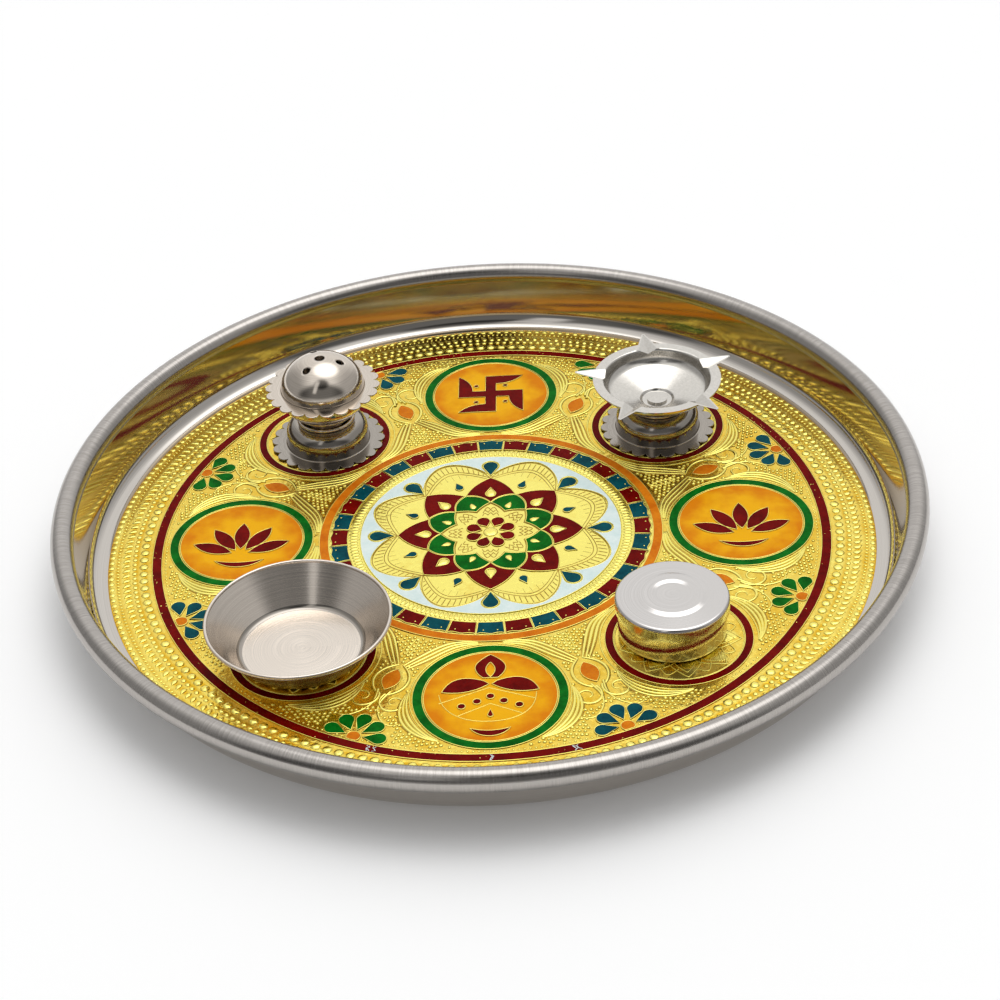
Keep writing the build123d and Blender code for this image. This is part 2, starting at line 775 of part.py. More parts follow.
def spout_section(radius, half_width, depth, rise):
    """Triangular section of a spout, square to its length, its flat side at a rise above the lip."""
    across = Plane((radius, 0, diya_height), x_dir=(0, 1, 0), z_dir=(1, 0, 0))
    top_half_width = half_width * (1 + rise / depth)
    with BuildSketch(across, mode=Mode.PRIVATE) as section:
        with BuildLine():
            Polyline((-top_half_width, rise), (top_half_width, rise), (0, -depth), (-top_half_width, rise))
        make_face()
    return section.sketch


def spout_wedge(root, tip, half_width, depth, tip_half_width, rise):
    """Wedge of a spout from its root section to its small tip section."""
    taper = tip_half_width / half_width
    with BuildPart(mode=Mode.PRIVATE) as wedge:
        loft(
            sections=[
                spout_section(root, half_width, depth, rise),
                spout_section(tip, tip_half_width, depth * taper, rise * taper),
            ],
            ruled=True,
        )
    return wedge.part


# The spouts start inside the bowl's side, so a cone along the middle of its sheet trims their roots
with BuildPart() as spouts:
    with PolarLocations(0, spout_count, start_angle=spout_start_deg):
        add(
            spout_wedge(
                spout_root_radius,
                spout_tip_radius,
                spout_half_width,
                spout_depth,
                spout_tip_half_width,
                0,
            )
        )
    with BuildSketch(upright()):
        with BuildLine():
            Polyline(
                (0, diya_floor + diya_side_rise),
                (diya_side_radius + pedestal_sheet / 2, diya_floor + diya_side_rise),
                (diya_mouth_radius + pedestal_sheet / 2, diya_height),
                (0, diya_height),
                (0, diya_floor + diya_side_rise),
            )
        make_face()
    revolve(axis=Axis.Z, mode=Mode.SUBTRACT)

with BuildPart() as diya_bowl:
    with BuildSketch(upright()):
        add(sheet_section(diya_path, diya_bends, pedestal_sheet))
    revolve(axis=Axis.Z)
    add(spouts.part)
    with PolarLocations(0, spout_count, start_angle=spout_start_deg):
        add(
            spout_wedge(
                spout_root_radius - overrun,
                spout_tip_radius - pedestal_sheet,
                spout_half_width - pedestal_sheet,
                spout_depth - pedestal_sheet,
                spout_tip_half_width / 2,
                overrun,
            ),
            mode=Mode.SUBTRACT,
        )
save(diya_bowl.part.moved(Location((*seats["diya"], seat_top))), "diya_bowl")

# Open bowl: flat floor, cove, flared wall and a narrow rolled lip
lip_circle_radius = bowl_rim_radius - bowl_lip_radius
lip_level = bowl_height - bowl_lip_radius
flare_run = lip_circle_radius - bowl_floor_radius
flare_rise = lip_level - bowl_sheet - bowl_cove_radius
flare = acos(bowl_cove_radius / hypot(flare_run, flare_rise)) - atan2(flare_rise, flare_run)
bowl_foot_radius = lip_circle_radius - (lip_level - bowl_sheet) * sin(flare) / cos(flare)
with BuildPart() as offering_bowl:
    with BuildSketch(upright(seats["bowl"], seat_top)):
        add(
            sheet_section(
                [(0, bowl_sheet), (bowl_foot_radius, bowl_sheet), (lip_circle_radius, lip_level)],
                [0, bowl_cove_radius, 0],
                bowl_sheet,
            )
        )
        with Locations((lip_circle_radius, lip_level)):
            Circle(bowl_lip_radius)
    revolve(axis=upright_axis(seats["bowl"]))
save(offering_bowl.part, "offering_bowl")

# Kumkum box and its lid, whose flat underside rests on the box's rim
rim_level = kumkum_height - kumkum_sheet
box_bore = kumkum_wall_radius - kumkum_sheet
with BuildPart() as kumkum_box:
    with BuildSketch(upright(seats["kumkum"], seat_top)):
        add(
            sheet_section(
                [(0, kumkum_sheet), (box_bore, kumkum_sheet), (box_bore, rim_level)],
                [0, kumkum_corner_bend, 0],
                kumkum_sheet,
            )
        )
    revolve(axis=upright_axis(seats["kumkum"]))
save(kumkum_box.part, "kumkum_box")

plateau_level = kumkum_height + kumkum_plateau_rise
recess_level = plateau_level - kumkum_recess_depth
lid_path = [
    (0, recess_level),
    (kumkum_recess_radius - kumkum_step, recess_level),
    (kumkum_recess_radius, plateau_level),
    (kumkum_plateau_radius - kumkum_step, plateau_level),
    (kumkum_plateau_radius, kumkum_height),
    (kumkum_lid_radius, kumkum_height),
    (kumkum_lid_radius, kumkum_height - kumkum_skirt),
]
with BuildPart() as kumkum_lid:
    with BuildSketch(upright(seats["kumkum"], seat_top)):
        add(sheet_section(lid_path, [0, 0, 0, 0, 0, kumkum_lid_bend, 0], kumkum_sheet))
    revolve(axis=upright_axis(seats["kumkum"]))
save(kumkum_lid.part, "kumkum_lid")
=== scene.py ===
"""Looks of the puja thali: tray, embossed foil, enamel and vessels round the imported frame.

All shapes are worked out in millimetres in the frame's own axes and turned into metres where a
mesh is made. Rows, stipple and raised lines come from node trees and are kept as plain meshes.
"""

from __future__ import annotations

import logging
import math
from dataclasses import dataclass, field
from enum import Enum
from typing import Any, Callable, Iterable, Sequence

import bpy
import numpy as np
from mathutils import Matrix, Vector


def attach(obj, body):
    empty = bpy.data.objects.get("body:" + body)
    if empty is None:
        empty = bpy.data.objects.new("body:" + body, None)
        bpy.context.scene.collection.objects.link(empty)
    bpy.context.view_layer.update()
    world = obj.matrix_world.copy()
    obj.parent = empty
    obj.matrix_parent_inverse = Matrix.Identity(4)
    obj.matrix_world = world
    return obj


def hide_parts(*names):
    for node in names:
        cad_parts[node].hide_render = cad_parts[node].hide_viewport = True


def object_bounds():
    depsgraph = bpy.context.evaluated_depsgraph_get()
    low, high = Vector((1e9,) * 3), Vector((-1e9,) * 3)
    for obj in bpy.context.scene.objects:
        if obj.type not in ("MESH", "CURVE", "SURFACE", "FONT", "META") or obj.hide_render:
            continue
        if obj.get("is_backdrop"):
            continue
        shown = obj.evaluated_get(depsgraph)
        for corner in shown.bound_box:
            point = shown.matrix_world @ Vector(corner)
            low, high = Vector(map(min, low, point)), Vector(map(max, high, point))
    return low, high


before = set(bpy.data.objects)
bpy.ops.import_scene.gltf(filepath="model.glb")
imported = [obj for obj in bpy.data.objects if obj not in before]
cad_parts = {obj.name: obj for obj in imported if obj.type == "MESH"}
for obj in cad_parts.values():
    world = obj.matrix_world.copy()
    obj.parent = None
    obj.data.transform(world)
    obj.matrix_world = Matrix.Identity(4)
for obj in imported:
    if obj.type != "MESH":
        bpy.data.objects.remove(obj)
START_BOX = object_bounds()

MM = 0.001
UV_NAME = "UVMap"
TAPER_NAME = "taper"
ROUNDEL_CIRCLE = 88.79
MEDALLION_RADIUS = 60.98
BORDER_RING = (116.6, 120.0)
NOISE_RANGE = (0.3, 0.7)
WHITE = (1.0, 1.0, 1.0, 1.0)
log = logging.getLogger("thali")

Pair = tuple[float, float]
Colour = tuple[float, float, float]
Socket = bpy.types.NodeSocket


class Slot(str, Enum):
    """Material slots of the record."""

    STEEL = "steel"
    GOLD = "gold"
    MAROON = "maroon"
    GREEN = "green"
    BLUE = "blue"
    ORANGE = "orange"
    AMBER = "amber"
    PALE = "pale"


class Body(str, Enum):
    """Moving bodies of the frame."""

    THALI = "thali"
    INCENSE = "incense_holder"
    LAMP = "oil_lamp"
    BOWL = "bowl"
    BOX = "kumkum_box"
    LID = "kumkum_lid"


class Grain(Enum):
    """Direction of the fine polishing marks on a turned piece."""

    NONE = 0
    AROUND = 1
    ACROSS = 2


class Taper(Enum):
    """How a raised line changes along its length."""

    EVEN = 0
    ENDS = 1
    TAIL = 2


@dataclass(frozen=True)
class Levels:
    """Heights of the flat layers above the table, in millimetres."""

    foil_bottom: float = 0.8
    foil_top: float = 1.1
    enamel_top: float = 1.35
    seat_top: float = 1.4
    motif_top: float = 1.6


@dataclass(frozen=True)
class SteelFinish:
    """Finish of a steel surface; the grain depth is in millimetres."""

    name: str
    colour: Colour
    shade: Colour
    roughness: float
    spread: float
    anisotropic: float
    grain_depth: float
    grain: Grain = Grain.AROUND


@dataclass(frozen=True)
class FoilFinish:
    """Finish of the embossed foil, with painted shade: low parts are coloured browner than raised parts.

    Attributes:
        low: Height up to which the colour is the hollow's painted shade, in millimetres.
        high: Height with the raised colour, in millimetres.
        dimple: Strength of the fine dimples.
        heart: Radius within which the foil is lighter, or zero.
    """

    name: str
    raised: Colour = (1.0, 0.88, 0.21)
    # Painted shade: the browner colour of the low parts of the relief.
    hollow: Colour = (0.66, 0.32, 0.008)
    low: float = 1.0
    high: float = 1.15
    roughness: float = 0.14
    dimple: float = 0.65
    heart: float = 0.0


@dataclass(frozen=True)
class EnamelFinish:
    """Finish of a glossy enamel fill with a slightly uneven pool."""

    name: str
    colour: Colour
    deep: Colour
    roughness: float = 0.2
    specular: float = 0.03
    wave: float = 0.35


@dataclass(frozen=True)
class GroundFinish:
    """Finish of the roundel grounds: orange at the edge, yellow in the middle."""

    name: str
    edge: Colour = (0.75, 0.23, 0.004)
    middle: Colour = (0.92, 0.46, 0.008)
    specular: float = 0.03
    circle: float = ROUNDEL_CIRCLE
    radius: float = 21.8
    blur: float = 4.0


class Graph:
    """Adds shader nodes to a node tree and links them."""

    def __init__(self, tree: bpy.types.NodeTree) -> None:
        """Empty the tree.

        Args:
            tree: The node tree.
        """
        self.nodes = tree.nodes
        self.links = tree.links
        self.nodes.clear()

    def node(self, kind: str, **settings: Any) -> bpy.types.Node:
        """Add a node.

        Args:
            kind: Node type.
            settings: Properties of the node to set.

        Returns:
            The new node.
        """
        made = self.nodes.new(kind)
        for key, value in settings.items():
            setattr(made, key, value)
        return made

    def feed(self, socket: Socket, value: Any) -> None:
        """Link an input socket or set its value.

        Args:
            socket: Input socket.
            value: Output socket, or the value to set.
        """
        if isinstance(value, Socket):
            self.links.new(value, socket)
        else:
            socket.default_value = value

    def axes(self) -> list[Socket]:
        """Object coordinates.

        Returns:
            The value sockets of the three axes.
        """
        split = self.node("ShaderNodeSeparateXYZ")
        self.feed(split.inputs["Vector"], self.node("ShaderNodeTexCoord").outputs["Object"])
        return list(split.outputs)

    def noise(
        self, scale: Any, detail: float = 3.0, rough: float = 0.5, source: str = "Object"
    ) -> Socket:
        """Noise value.

        Args:
            scale: Scale, or one for each axis.
            detail: Number of octaves.
            rough: Share of the finer octaves.
            source: Coordinates to use, Object or UV.

        Returns:
            The value socket.
        """
        mapping = self.node("ShaderNodeMapping")
        mapping.inputs["Scale"].default_value = (scale,) * 3 if isinstance(scale, float) else scale
        self.feed(mapping.inputs["Vector"], self.node("ShaderNodeTexCoord").outputs[source])
        made = self.node("ShaderNodeTexNoise")
        self.feed(made.inputs["Vector"], mapping.outputs["Vector"])
        for key, value in (("Scale", 1.0), ("Detail", detail), ("Roughness", rough)):
            self.feed(made.inputs[key], value)
        return made.outputs["Fac"]

    def spread(
        self, value: Socket, new: Pair, old: Pair = NOISE_RANGE, smooth: bool = False
    ) -> Socket:
        """Map a value from one range to another.

        Args:
            value: Value socket.
            new: Range it goes to.
            old: Range it comes from.
            smooth: Whether the ends are eased.

        Returns:
            The mapped value socket.
        """
        made = self.node("ShaderNodeMapRange", interpolation_type="SMOOTHSTEP" if smooth else "LINEAR")
        keys = ("Value", "From Min", "From Max", "To Min", "To Max")
        for key, number in zip(keys, (value, *old, *new)):
            self.feed(made.inputs[key], number)
        return made.outputs["Result"]

    def mix(self, share: Socket, first: Colour, second: Colour) -> Socket:
        """Mix two colours.

        Args:
            share: Share of the second colour.
            first: Colour at share zero.
            second: Colour at share one.

        Returns:
            The colour socket.
        """
        made = self.node("ShaderNodeMix", data_type="RGBA")
        for index, value in ((0, share), (6, (*first, 1.0)), (7, (*second, 1.0))):
            self.feed(made.inputs[index], value)
        return made.outputs[2]

    def calc(self, operation: str, *values: Any) -> Socket:
        """Arithmetic on one or two values.

        Args:
            operation: Name of the operation.
            values: Values or sockets.

        Returns:
            The value socket.
        """
        made = self.node("ShaderNodeMath", operation=operation)
        for socket, value in zip(made.inputs, values):
            self.feed(socket, value)
        return made.outputs["Value"]

    def length(self, first: Socket, second: Socket) -> Socket:
        """Length of a vector in the plane.

        Args:
            first: Its first part.
            second: Its second part.

        Returns:
            The value socket.
        """
        squares = [self.calc("MULTIPLY", part, part) for part in (first, second)]
        return self.calc("SQRT", self.calc("ADD", *squares))


class SurfaceGraph(Graph):
    """Graph of one material with a principled surface."""

    def __init__(self, name: str) -> None:
        """Start the material.

        Args:
            name: Name of the material.
        """
        self.material = bpy.data.materials.new(name)
        self.material.use_nodes = True
        super().__init__(self.material.node_tree)
        self.surface = self.node("ShaderNodeBsdfPrincipled")
        output = self.node("ShaderNodeOutputMaterial")
        self.feed(output.inputs["Surface"], self.surface.outputs["BSDF"])

    def put(self, key: str, value: Any) -> None:
        """Feed an input of the surface.

        Args:
            key: Name of the input.
            value: Output socket, or the value to set.
        """
        self.feed(self.surface.inputs[key], value)

    def bump(self, height: Socket, strength: float, distance: float) -> None:
        """Bend the surface normal by a height.

        Args:
            height: Height socket.
            strength: Share of the effect.
            distance: Height of a full step, in millimetres.
        """
        made = self.node("ShaderNodeBump")
        for key, value in (("Strength", strength), ("Distance", distance * MM), ("Height", height)):
            self.feed(made.inputs[key], value)
        self.put("Normal", made.outputs["Normal"])


def steel_material(finish: SteelFinish) -> bpy.types.Material:
    """Build a steel material.

    Args:
        finish: The finish.

    Returns:
        The material.
    """
    graph = SurfaceGraph(finish.name)
    graph.put("Metallic", 1.0)
    if finish.grain is Grain.NONE:
        marks = graph.noise((900.0, 900.0, 2600.0))
    else:
        around = finish.grain is Grain.AROUND
        marks = graph.noise((0.012, 5.0, 1.0) if around else (2.6, 0.10, 1.0), 4.0, 0.6, "UV")
        tangent = graph.node("ShaderNodeTangent", direction_type="UV_MAP", uv_map=UV_NAME)
        graph.put("Tangent", tangent.outputs["Tangent"])
        graph.put("Anisotropic", finish.anisotropic)
        graph.put("Anisotropic Rotation", 0.25 if around else 0.0)
    cloud = graph.noise(60.0, 4.0)
    graph.put("Base Color", graph.mix(graph.spread(marks, (0.0, 1.0)), finish.shade, finish.colour))
    both = graph.calc("ADD", graph.calc("MULTIPLY", marks, 0.6), graph.calc("MULTIPLY", cloud, 0.4))
    low = finish.roughness - finish.spread / 2
    graph.put("Roughness", graph.spread(both, (low, low + finish.spread)))
    graph.bump(marks, 0.6, finish.grain_depth)
    return graph.material


def foil_material(finish: FoilFinish) -> bpy.types.Material:
    """Build the embossed foil's material.

    Args:
        finish: The finish.

    Returns:
        The material.
    """
    graph = SurfaceGraph(finish.name)
    graph.put("Metallic", 1.0)
    x, y, z = graph.axes()
    # Painted shade: the colour turns browner towards the low parts of the relief.
    rise = graph.spread(z, (0.0, 1.0), (finish.low * MM, finish.high * MM))
    cloud = graph.noise(45.0, 4.0)
    speck = graph.noise(620.0)
    share = graph.calc("ADD", rise, graph.spread(cloud, (-0.18, 0.18)))
    share = graph.calc("ADD", share, graph.spread(speck, (-0.16, 0.16)))
    if finish.heart > 0:
        edge = ((finish.heart - 0.5) * MM, (finish.heart + 0.5) * MM)
        share = graph.calc("ADD", share, graph.spread(graph.length(x, y), (0.7, 0.0), edge))
    share = graph.spread(share, (0.0, 1.0), (0.0, 1.0))
    graph.put("Base Color", graph.mix(share, finish.hollow, finish.raised))
    graph.put("Roughness", graph.spread(speck, (finish.roughness - 0.06, finish.roughness + 0.06)))
    graph.bump(speck, finish.dimple, 0.25)
    return graph.material


def enamel_material(finish: EnamelFinish) -> bpy.types.Material:
    """Build a glossy enamel material.

    Args:
        finish: The finish.

    Returns:
        The material.
    """
    graph = SurfaceGraph(finish.name)
    pool = graph.noise(210.0)
    grain = graph.noise(900.0, 2.0)
    tone = graph.calc("ADD", graph.calc("MULTIPLY", pool, 0.7), graph.calc("MULTIPLY", grain, 0.3))
    share = graph.spread(tone, (0.0, 1.0), (0.35, 0.65))
    graph.put("Base Color", graph.mix(share, finish.deep, finish.colour))
    graph.put("Roughness", graph.spread(pool, (finish.roughness - 0.05, finish.roughness + 0.05)))
    graph.put("Specular IOR Level", finish.specular)
    graph.bump(tone, finish.wave, 0.35)
    return graph.material


def ground_material(finish: GroundFinish) -> bpy.types.Material:
    """Build the material of the roundel grounds, shaded by the distance from each centre.

    Args:
        finish: The finish.

    Returns:
        The material.
    """
    graph = SurfaceGraph(finish.name)
    along, across = (graph.calc("ABSOLUTE", axis) for axis in graph.axes()[:2])
    outer = graph.calc("MAXIMUM", along, across)
    inner = graph.calc("MINIMUM", along, across)
    radius = graph.length(graph.calc("SUBTRACT", outer, finish.circle * MM), inner)
    cloud = graph.noise(150.0)
    wobble = graph.calc("ADD", radius, graph.spread(cloud, (-finish.blur * MM, finish.blur * MM)))
    share = graph.spread(wobble, (0.0, 1.0), (finish.radius * 0.55 * MM, finish.radius * MM))
    graph.put("Base Color", graph.mix(share, finish.middle, finish.edge))
    graph.put("Roughness", graph.spread(cloud, (0.16, 0.26)))
    graph.put("Specular IOR Level", finish.specular)
    graph.bump(cloud, 0.35, 0.4)
    return graph.material


STEELS = {
    "rim": SteelFinish(
        "rim_steel", (0.49, 0.46, 0.43), (0.37, 0.345, 0.32), 0.22, 0.10, 0.4, 0.008, Grain.ACROSS
    ),
    "tray": SteelFinish(
        "tray_steel", (0.64, 0.60, 0.55), (0.54, 0.505, 0.465), 0.085, 0.05, 0.3, 0.004
    ),
    # Painted reflection: a warm, darker copy of the tray steel for the inner wall, standing in for the
    # gold foil that the wall reflects.
    "wall": SteelFinish("wall_steel", (0.56, 0.46, 0.32), (0.47, 0.38, 0.26), 0.05, 0.05, 0.3, 0.004),
    "polished": SteelFinish(
        "polished_steel", (0.76, 0.68, 0.59), (0.60, 0.535, 0.465), 0.11, 0.07, 0.3, 0.006
    ),
    # Painted shade: a darker copy of the steel for the pedestals under the dishes and for the bowl's
    # cove.
    "dark": SteelFinish("dark_steel", (0.46, 0.42, 0.37), (0.34, 0.31, 0.275), 0.13, 0.06, 0.3, 0.005),
    "satin": SteelFinish(
        "satin_steel", (0.90, 0.815, 0.72), (0.69, 0.62, 0.545), 0.21, 0.10, 0.5, 0.012
    ),
    "bright": SteelFinish(
        "bright_steel", (0.72, 0.695, 0.675), (0.61, 0.585, 0.565), 0.11, 0.06, 0.4, 0.008
    ),
    "plain": SteelFinish(
        "plain_steel", (0.72, 0.69, 0.64), (0.66, 0.63, 0.58), 0.19, 0.04, 0.0, 0.001, Grain.NONE
    ),
}
FOILS = {
    "foil": FoilFinish("gold_foil_embossed"),
    "ground": FoilFinish("gold_foil_ground", hollow=(0.80, 0.47, 0.02), low=1.04, high=1.2, heart=60.5),
    "wire": FoilFinish("gold_raised_lines", hollow=(0.78, 0.49, 0.04), dimple=0.1),
    # Painted shadow: dark brown gold for thin lines laid where the relief's creases and hatching fall in
    # shade.
    "shadow_lines": FoilFinish(
        "gold_etched_lines", raised=(0.52, 0.31, 0.05), hollow=(0.34, 0.19, 0.03), dimple=0.1
    ),
}
ENAMELS = {
    Slot.MAROON: EnamelFinish("maroon_enamel", (0.20, 0.003, 0.0012), (0.112, 0.0012, 0.0006)),
    Slot.GREEN: EnamelFinish("green_enamel", (0.003, 0.175, 0.011), (0.001, 0.080, 0.004)),
    Slot.BLUE: EnamelFinish("blue_enamel", (0.002, 0.088, 0.108), (0.001, 0.046, 0.062)),
    Slot.ORANGE: EnamelFinish("orange_enamel", (0.77, 0.24, 0.010), (0.62, 0.145, 0.005)),
    Slot.PALE: EnamelFinish("pale_enamel", (0.80, 0.90, 0.87), (0.68, 0.82, 0.80), wave=0.2),
}


class Finishes:
    """All materials of the object."""

    def __init__(self) -> None:
        """Build every material once."""
        self.steel = {key: steel_material(finish) for key, finish in STEELS.items()}
        self.gold = {key: foil_material(finish) for key, finish in FOILS.items()}
        self.enamel = {slot: enamel_material(finish) for slot, finish in ENAMELS.items()}
        self.enamel[Slot.AMBER] = ground_material(GroundFinish("amber_enamel"))


def unit(vector: np.ndarray) -> np.ndarray:
    """Unit vector.

    Args:
        vector: Any vector but zero.

    Returns:
        The vector at length one.
    """
    return vector / np.linalg.norm(vector)


def arc_points(
    centre: Pair, radius: float, start_deg: float, end_deg: float, step_deg: float = 9.0
) -> list[Pair]:
    """Points along an arc.

    Args:
        centre: Centre of the arc.
        radius: Radius.
        start_deg: First angle.
        end_deg: Last angle.
        step_deg: Largest step.

    Returns:
        The points, both ends included.
    """
    count = max(2, int(math.ceil(abs(end_deg - start_deg) / step_deg)) + 1)
    angles = np.radians(np.linspace(start_deg, end_deg, count))
    return [(centre[0] + radius * math.cos(a), centre[1] + radius * math.sin(a)) for a in angles]


def rounded(points: Sequence[Pair], radii: Sequence[float], step_deg: float = 9.0) -> list[Pair]:
    """Round the corners of a closed outline.

    Args:
        points: Corners in order.
        radii: Radius at each corner, zero to keep it sharp.
        step_deg: Largest step along a rounded corner.

    Returns:
        The outline with sampled arcs.
    """
    corners = [np.array(p, dtype=float) for p in points]
    made: list[Pair] = []
    for index, corner in enumerate(corners):
        radius = radii[index]
        before = corners[index - 1] - corner
        after = corners[(index + 1) % len(corners)] - corner
        if radius <= 0:
            made.append((corner[0], corner[1]))
            continue
        reach_limit = 0.49 * min(np.linalg.norm(before), np.linalg.norm(after))
        before, after = unit(before), unit(after)
        half = math.acos(max(-1.0, min(1.0, float(before @ after)))) / 2
        if half < 1e-3 or half > math.pi / 2 - 1e-3:
            made.append((corner[0], corner[1]))
            continue
        reach = radius / math.tan(half)
        if radius < 1.0 and reach > reach_limit:
            reach = reach_limit
            radius = reach * math.tan(half)
        middle = corner + unit(before + after) * radius / math.sin(half)
        first = corner + before * reach - middle
        last = corner + after * reach - middle
        start = math.atan2(first[1], first[0])
        turn = math.atan2(last[1], last[0]) - start
        turn = (turn + math.pi) % (2 * math.pi) - math.pi
        made += arc_points(
            (middle[0], middle[1]), radius, math.degrees(start), math.degrees(start + turn), step_deg
        )
    return made


def sheet_profile(
    path: Sequence[Pair],
    bends: Sequence[float],
    sheet: float,
    top: float | None = None,
    edge: float = 0.2,
) -> list[Pair]:
    """Closed outline of a bent sheet: the path is one face, the sheet lies to its right.

    Args:
        path: Corners of the face.
        bends: Radius on the hollow side of each corner.
        sheet: Thickness.
        top: Level about which to turn the outline over, or None.
        edge: Rounding of the sheet's edges, as a share of its thickness.

    Returns:
        The outline as points of radius and height.
    """
    right_side: list[Pair] = []
    path_radii: list[float] = []
    right_radii: list[float] = []
    last = len(path) - 1
    for index, point in enumerate(path):
        here = np.array(point)
        first = unit(here - np.array(path[index - 1])) if index else unit(np.array(path[1]) - here)
        second = unit(np.array(path[index + 1]) - here) if index < last else first
        turn = first[0] * second[1] - first[1] * second[0]
        spread = 1 + float(first @ second)
        right_side.append(
            (
                point[0] + sheet * (first[1] + second[1]) / spread,
                point[1] - sheet * (first[0] + second[0]) / spread,
            )
        )
        bend = bends[index]
        if index in (0, last):
            bend = 0.0 if point[0] < 1e-6 else edge * sheet
            path_radii.append(bend)
            right_radii.append(bend)
        else:
            path_radii.append(bend + sheet if bend and turn < 0 else bend)
            right_radii.append(bend + sheet if bend and turn > 0 else bend)
    points = list(path) + right_side[::-1]
    radii = path_radii + right_radii[::-1]
    if top is not None:
        points = [(x, top - y) for x, y in points]
    return rounded(points, radii)


def spline(points: Sequence[Pair], step: float = 0.4) -> np.ndarray:
    """Smooth curve through points.

    Args:
        points: Points to pass through.
        step: Wanted spacing of the samples.

    Returns:
        Samples as an array of pairs.
    """
    knots = np.array(points, dtype=float)
    gaps = np.linalg.norm(np.diff(knots, axis=0), axis=1)
    place = np.concatenate([[0.0], np.cumsum(gaps)])
    count = len(knots)
    matrix = np.zeros((count, count))
    right = np.zeros((count, 2))
    matrix[0, 0] = matrix[-1, -1] = 1.0
    for k in range(1, count - 1):
        matrix[k, k - 1 : k + 2] = gaps[k - 1], 2 * (gaps[k - 1] + gaps[k]), gaps[k]
        right[k] = 6 * ((knots[k + 1] - knots[k]) / gaps[k] - (knots[k] - knots[k - 1]) / gaps[k - 1])
    second = np.linalg.solve(matrix, right)
    samples = np.linspace(0.0, place[-1], max(3, int(place[-1] / step) + 1))
    made = np.zeros((len(samples), 2))
    for n, t in enumerate(samples):
        k = min(count - 2, max(0, int(np.searchsorted(place, t, side="right")) - 1))
        a = (place[k + 1] - t) / gaps[k]
        b = (t - place[k]) / gaps[k]
        made[n] = a * knots[k] + b * knots[k + 1]
        made[n] += ((a**3 - a) * second[k] + (b**3 - b) * second[k + 1]) * gaps[k] ** 2 / 6
    return made


def in_scene(name: str, data: bpy.types.ID) -> bpy.types.Object:
    """Put a mesh, light or camera into the scene.

    Args:
        name: Name of the object.
        data: Its data.

    Returns:
        The new object.
    """
    made = bpy.data.objects.new(name, data)
    bpy.context.scene.collection.objects.link(made)
    return made


def settle(target: bpy.types.Object) -> bpy.types.Object:
    """Keep what an object's modifiers make as its plain mesh.

    Args:
        target: The object.

    Returns:
        The same object with its new mesh.
    """
    graph = bpy.context.evaluated_depsgraph_get()
    mesh = bpy.data.meshes.new_from_object(target.evaluated_get(graph))
    target.modifiers.clear()
    old, target.data = target.data, mesh
    bpy.data.meshes.remove(old)
    mesh.name = target.name
    return target


def mesh_object(
    name: str,
    points: np.ndarray,
    faces: Sequence[Sequence[int]],
    materials: Sequence[bpy.types.Material],
    uvs: np.ndarray | None = None,
    material_index: Sequence[int] | None = None,
    sharp_deg: float | None = 35.0,
) -> bpy.types.Object:
    """Make a mesh object from points in millimetres, with its faces turned outward.

    Args:
        name: Name of the object.
        points: Points, one row each.
        faces: Corner indices of each face.
        materials: Materials of the object.
        uvs: Texture coordinates of each face corner, or None.
        material_index: Material of each face, or None for the first.
        sharp_deg: Edges sharper than this stay sharp; None leaves the mesh flat shaded.

    Returns:
        The new object.
    """
    lengths = np.array([len(face) for face in faces])
    corners = np.concatenate([np.asarray(face, dtype=int) for face in faces])
    starts = np.concatenate([[0], np.cumsum(lengths)[:-1]])
    first, second, third = (points[corners[starts + k]] for k in range(3))
    volume = float(np.einsum("ij,ij->i", first, np.cross(second, third)).sum())
    quads = lengths == 4
    fourth = points[corners[starts[quads] + 3]]
    volume += float(np.einsum("ij,ij->i", first[quads], np.cross(third[quads], fourth)).sum())
    if volume < 0:
        order = np.concatenate([np.arange(s + n - 1, s - 1, -1) for s, n in zip(starts, lengths)])
        corners = corners[order]
        uvs = None if uvs is None else uvs[order]
    mesh = bpy.data.meshes.new(name)
    mesh.vertices.add(len(points))
    mesh.vertices.foreach_set("co", (points * MM).astype(np.float32).ravel())
    mesh.loops.add(len(corners))
    mesh.loops.foreach_set("vertex_index", corners.astype(np.int32))
    mesh.polygons.add(len(faces))
    mesh.polygons.foreach_set("loop_start", starts.astype(np.int32))
    mesh.update(calc_edges=True)
    if uvs is not None:
        layer = mesh.uv_layers.new(name=UV_NAME)
        layer.data.foreach_set("uv", uvs.astype(np.float32).ravel())
    for material in materials:
        mesh.materials.append(material)
    if material_index is not None:
        mesh.polygons.foreach_set("material_index", np.asarray(material_index, dtype=np.int32))
    if sharp_deg is not None:
        mesh.polygons.foreach_set("use_smooth", np.ones(len(faces), dtype=bool))
        mesh.set_sharp_from_angle(angle=math.radians(sharp_deg))
    mesh.validate()
    return in_scene(name, mesh)


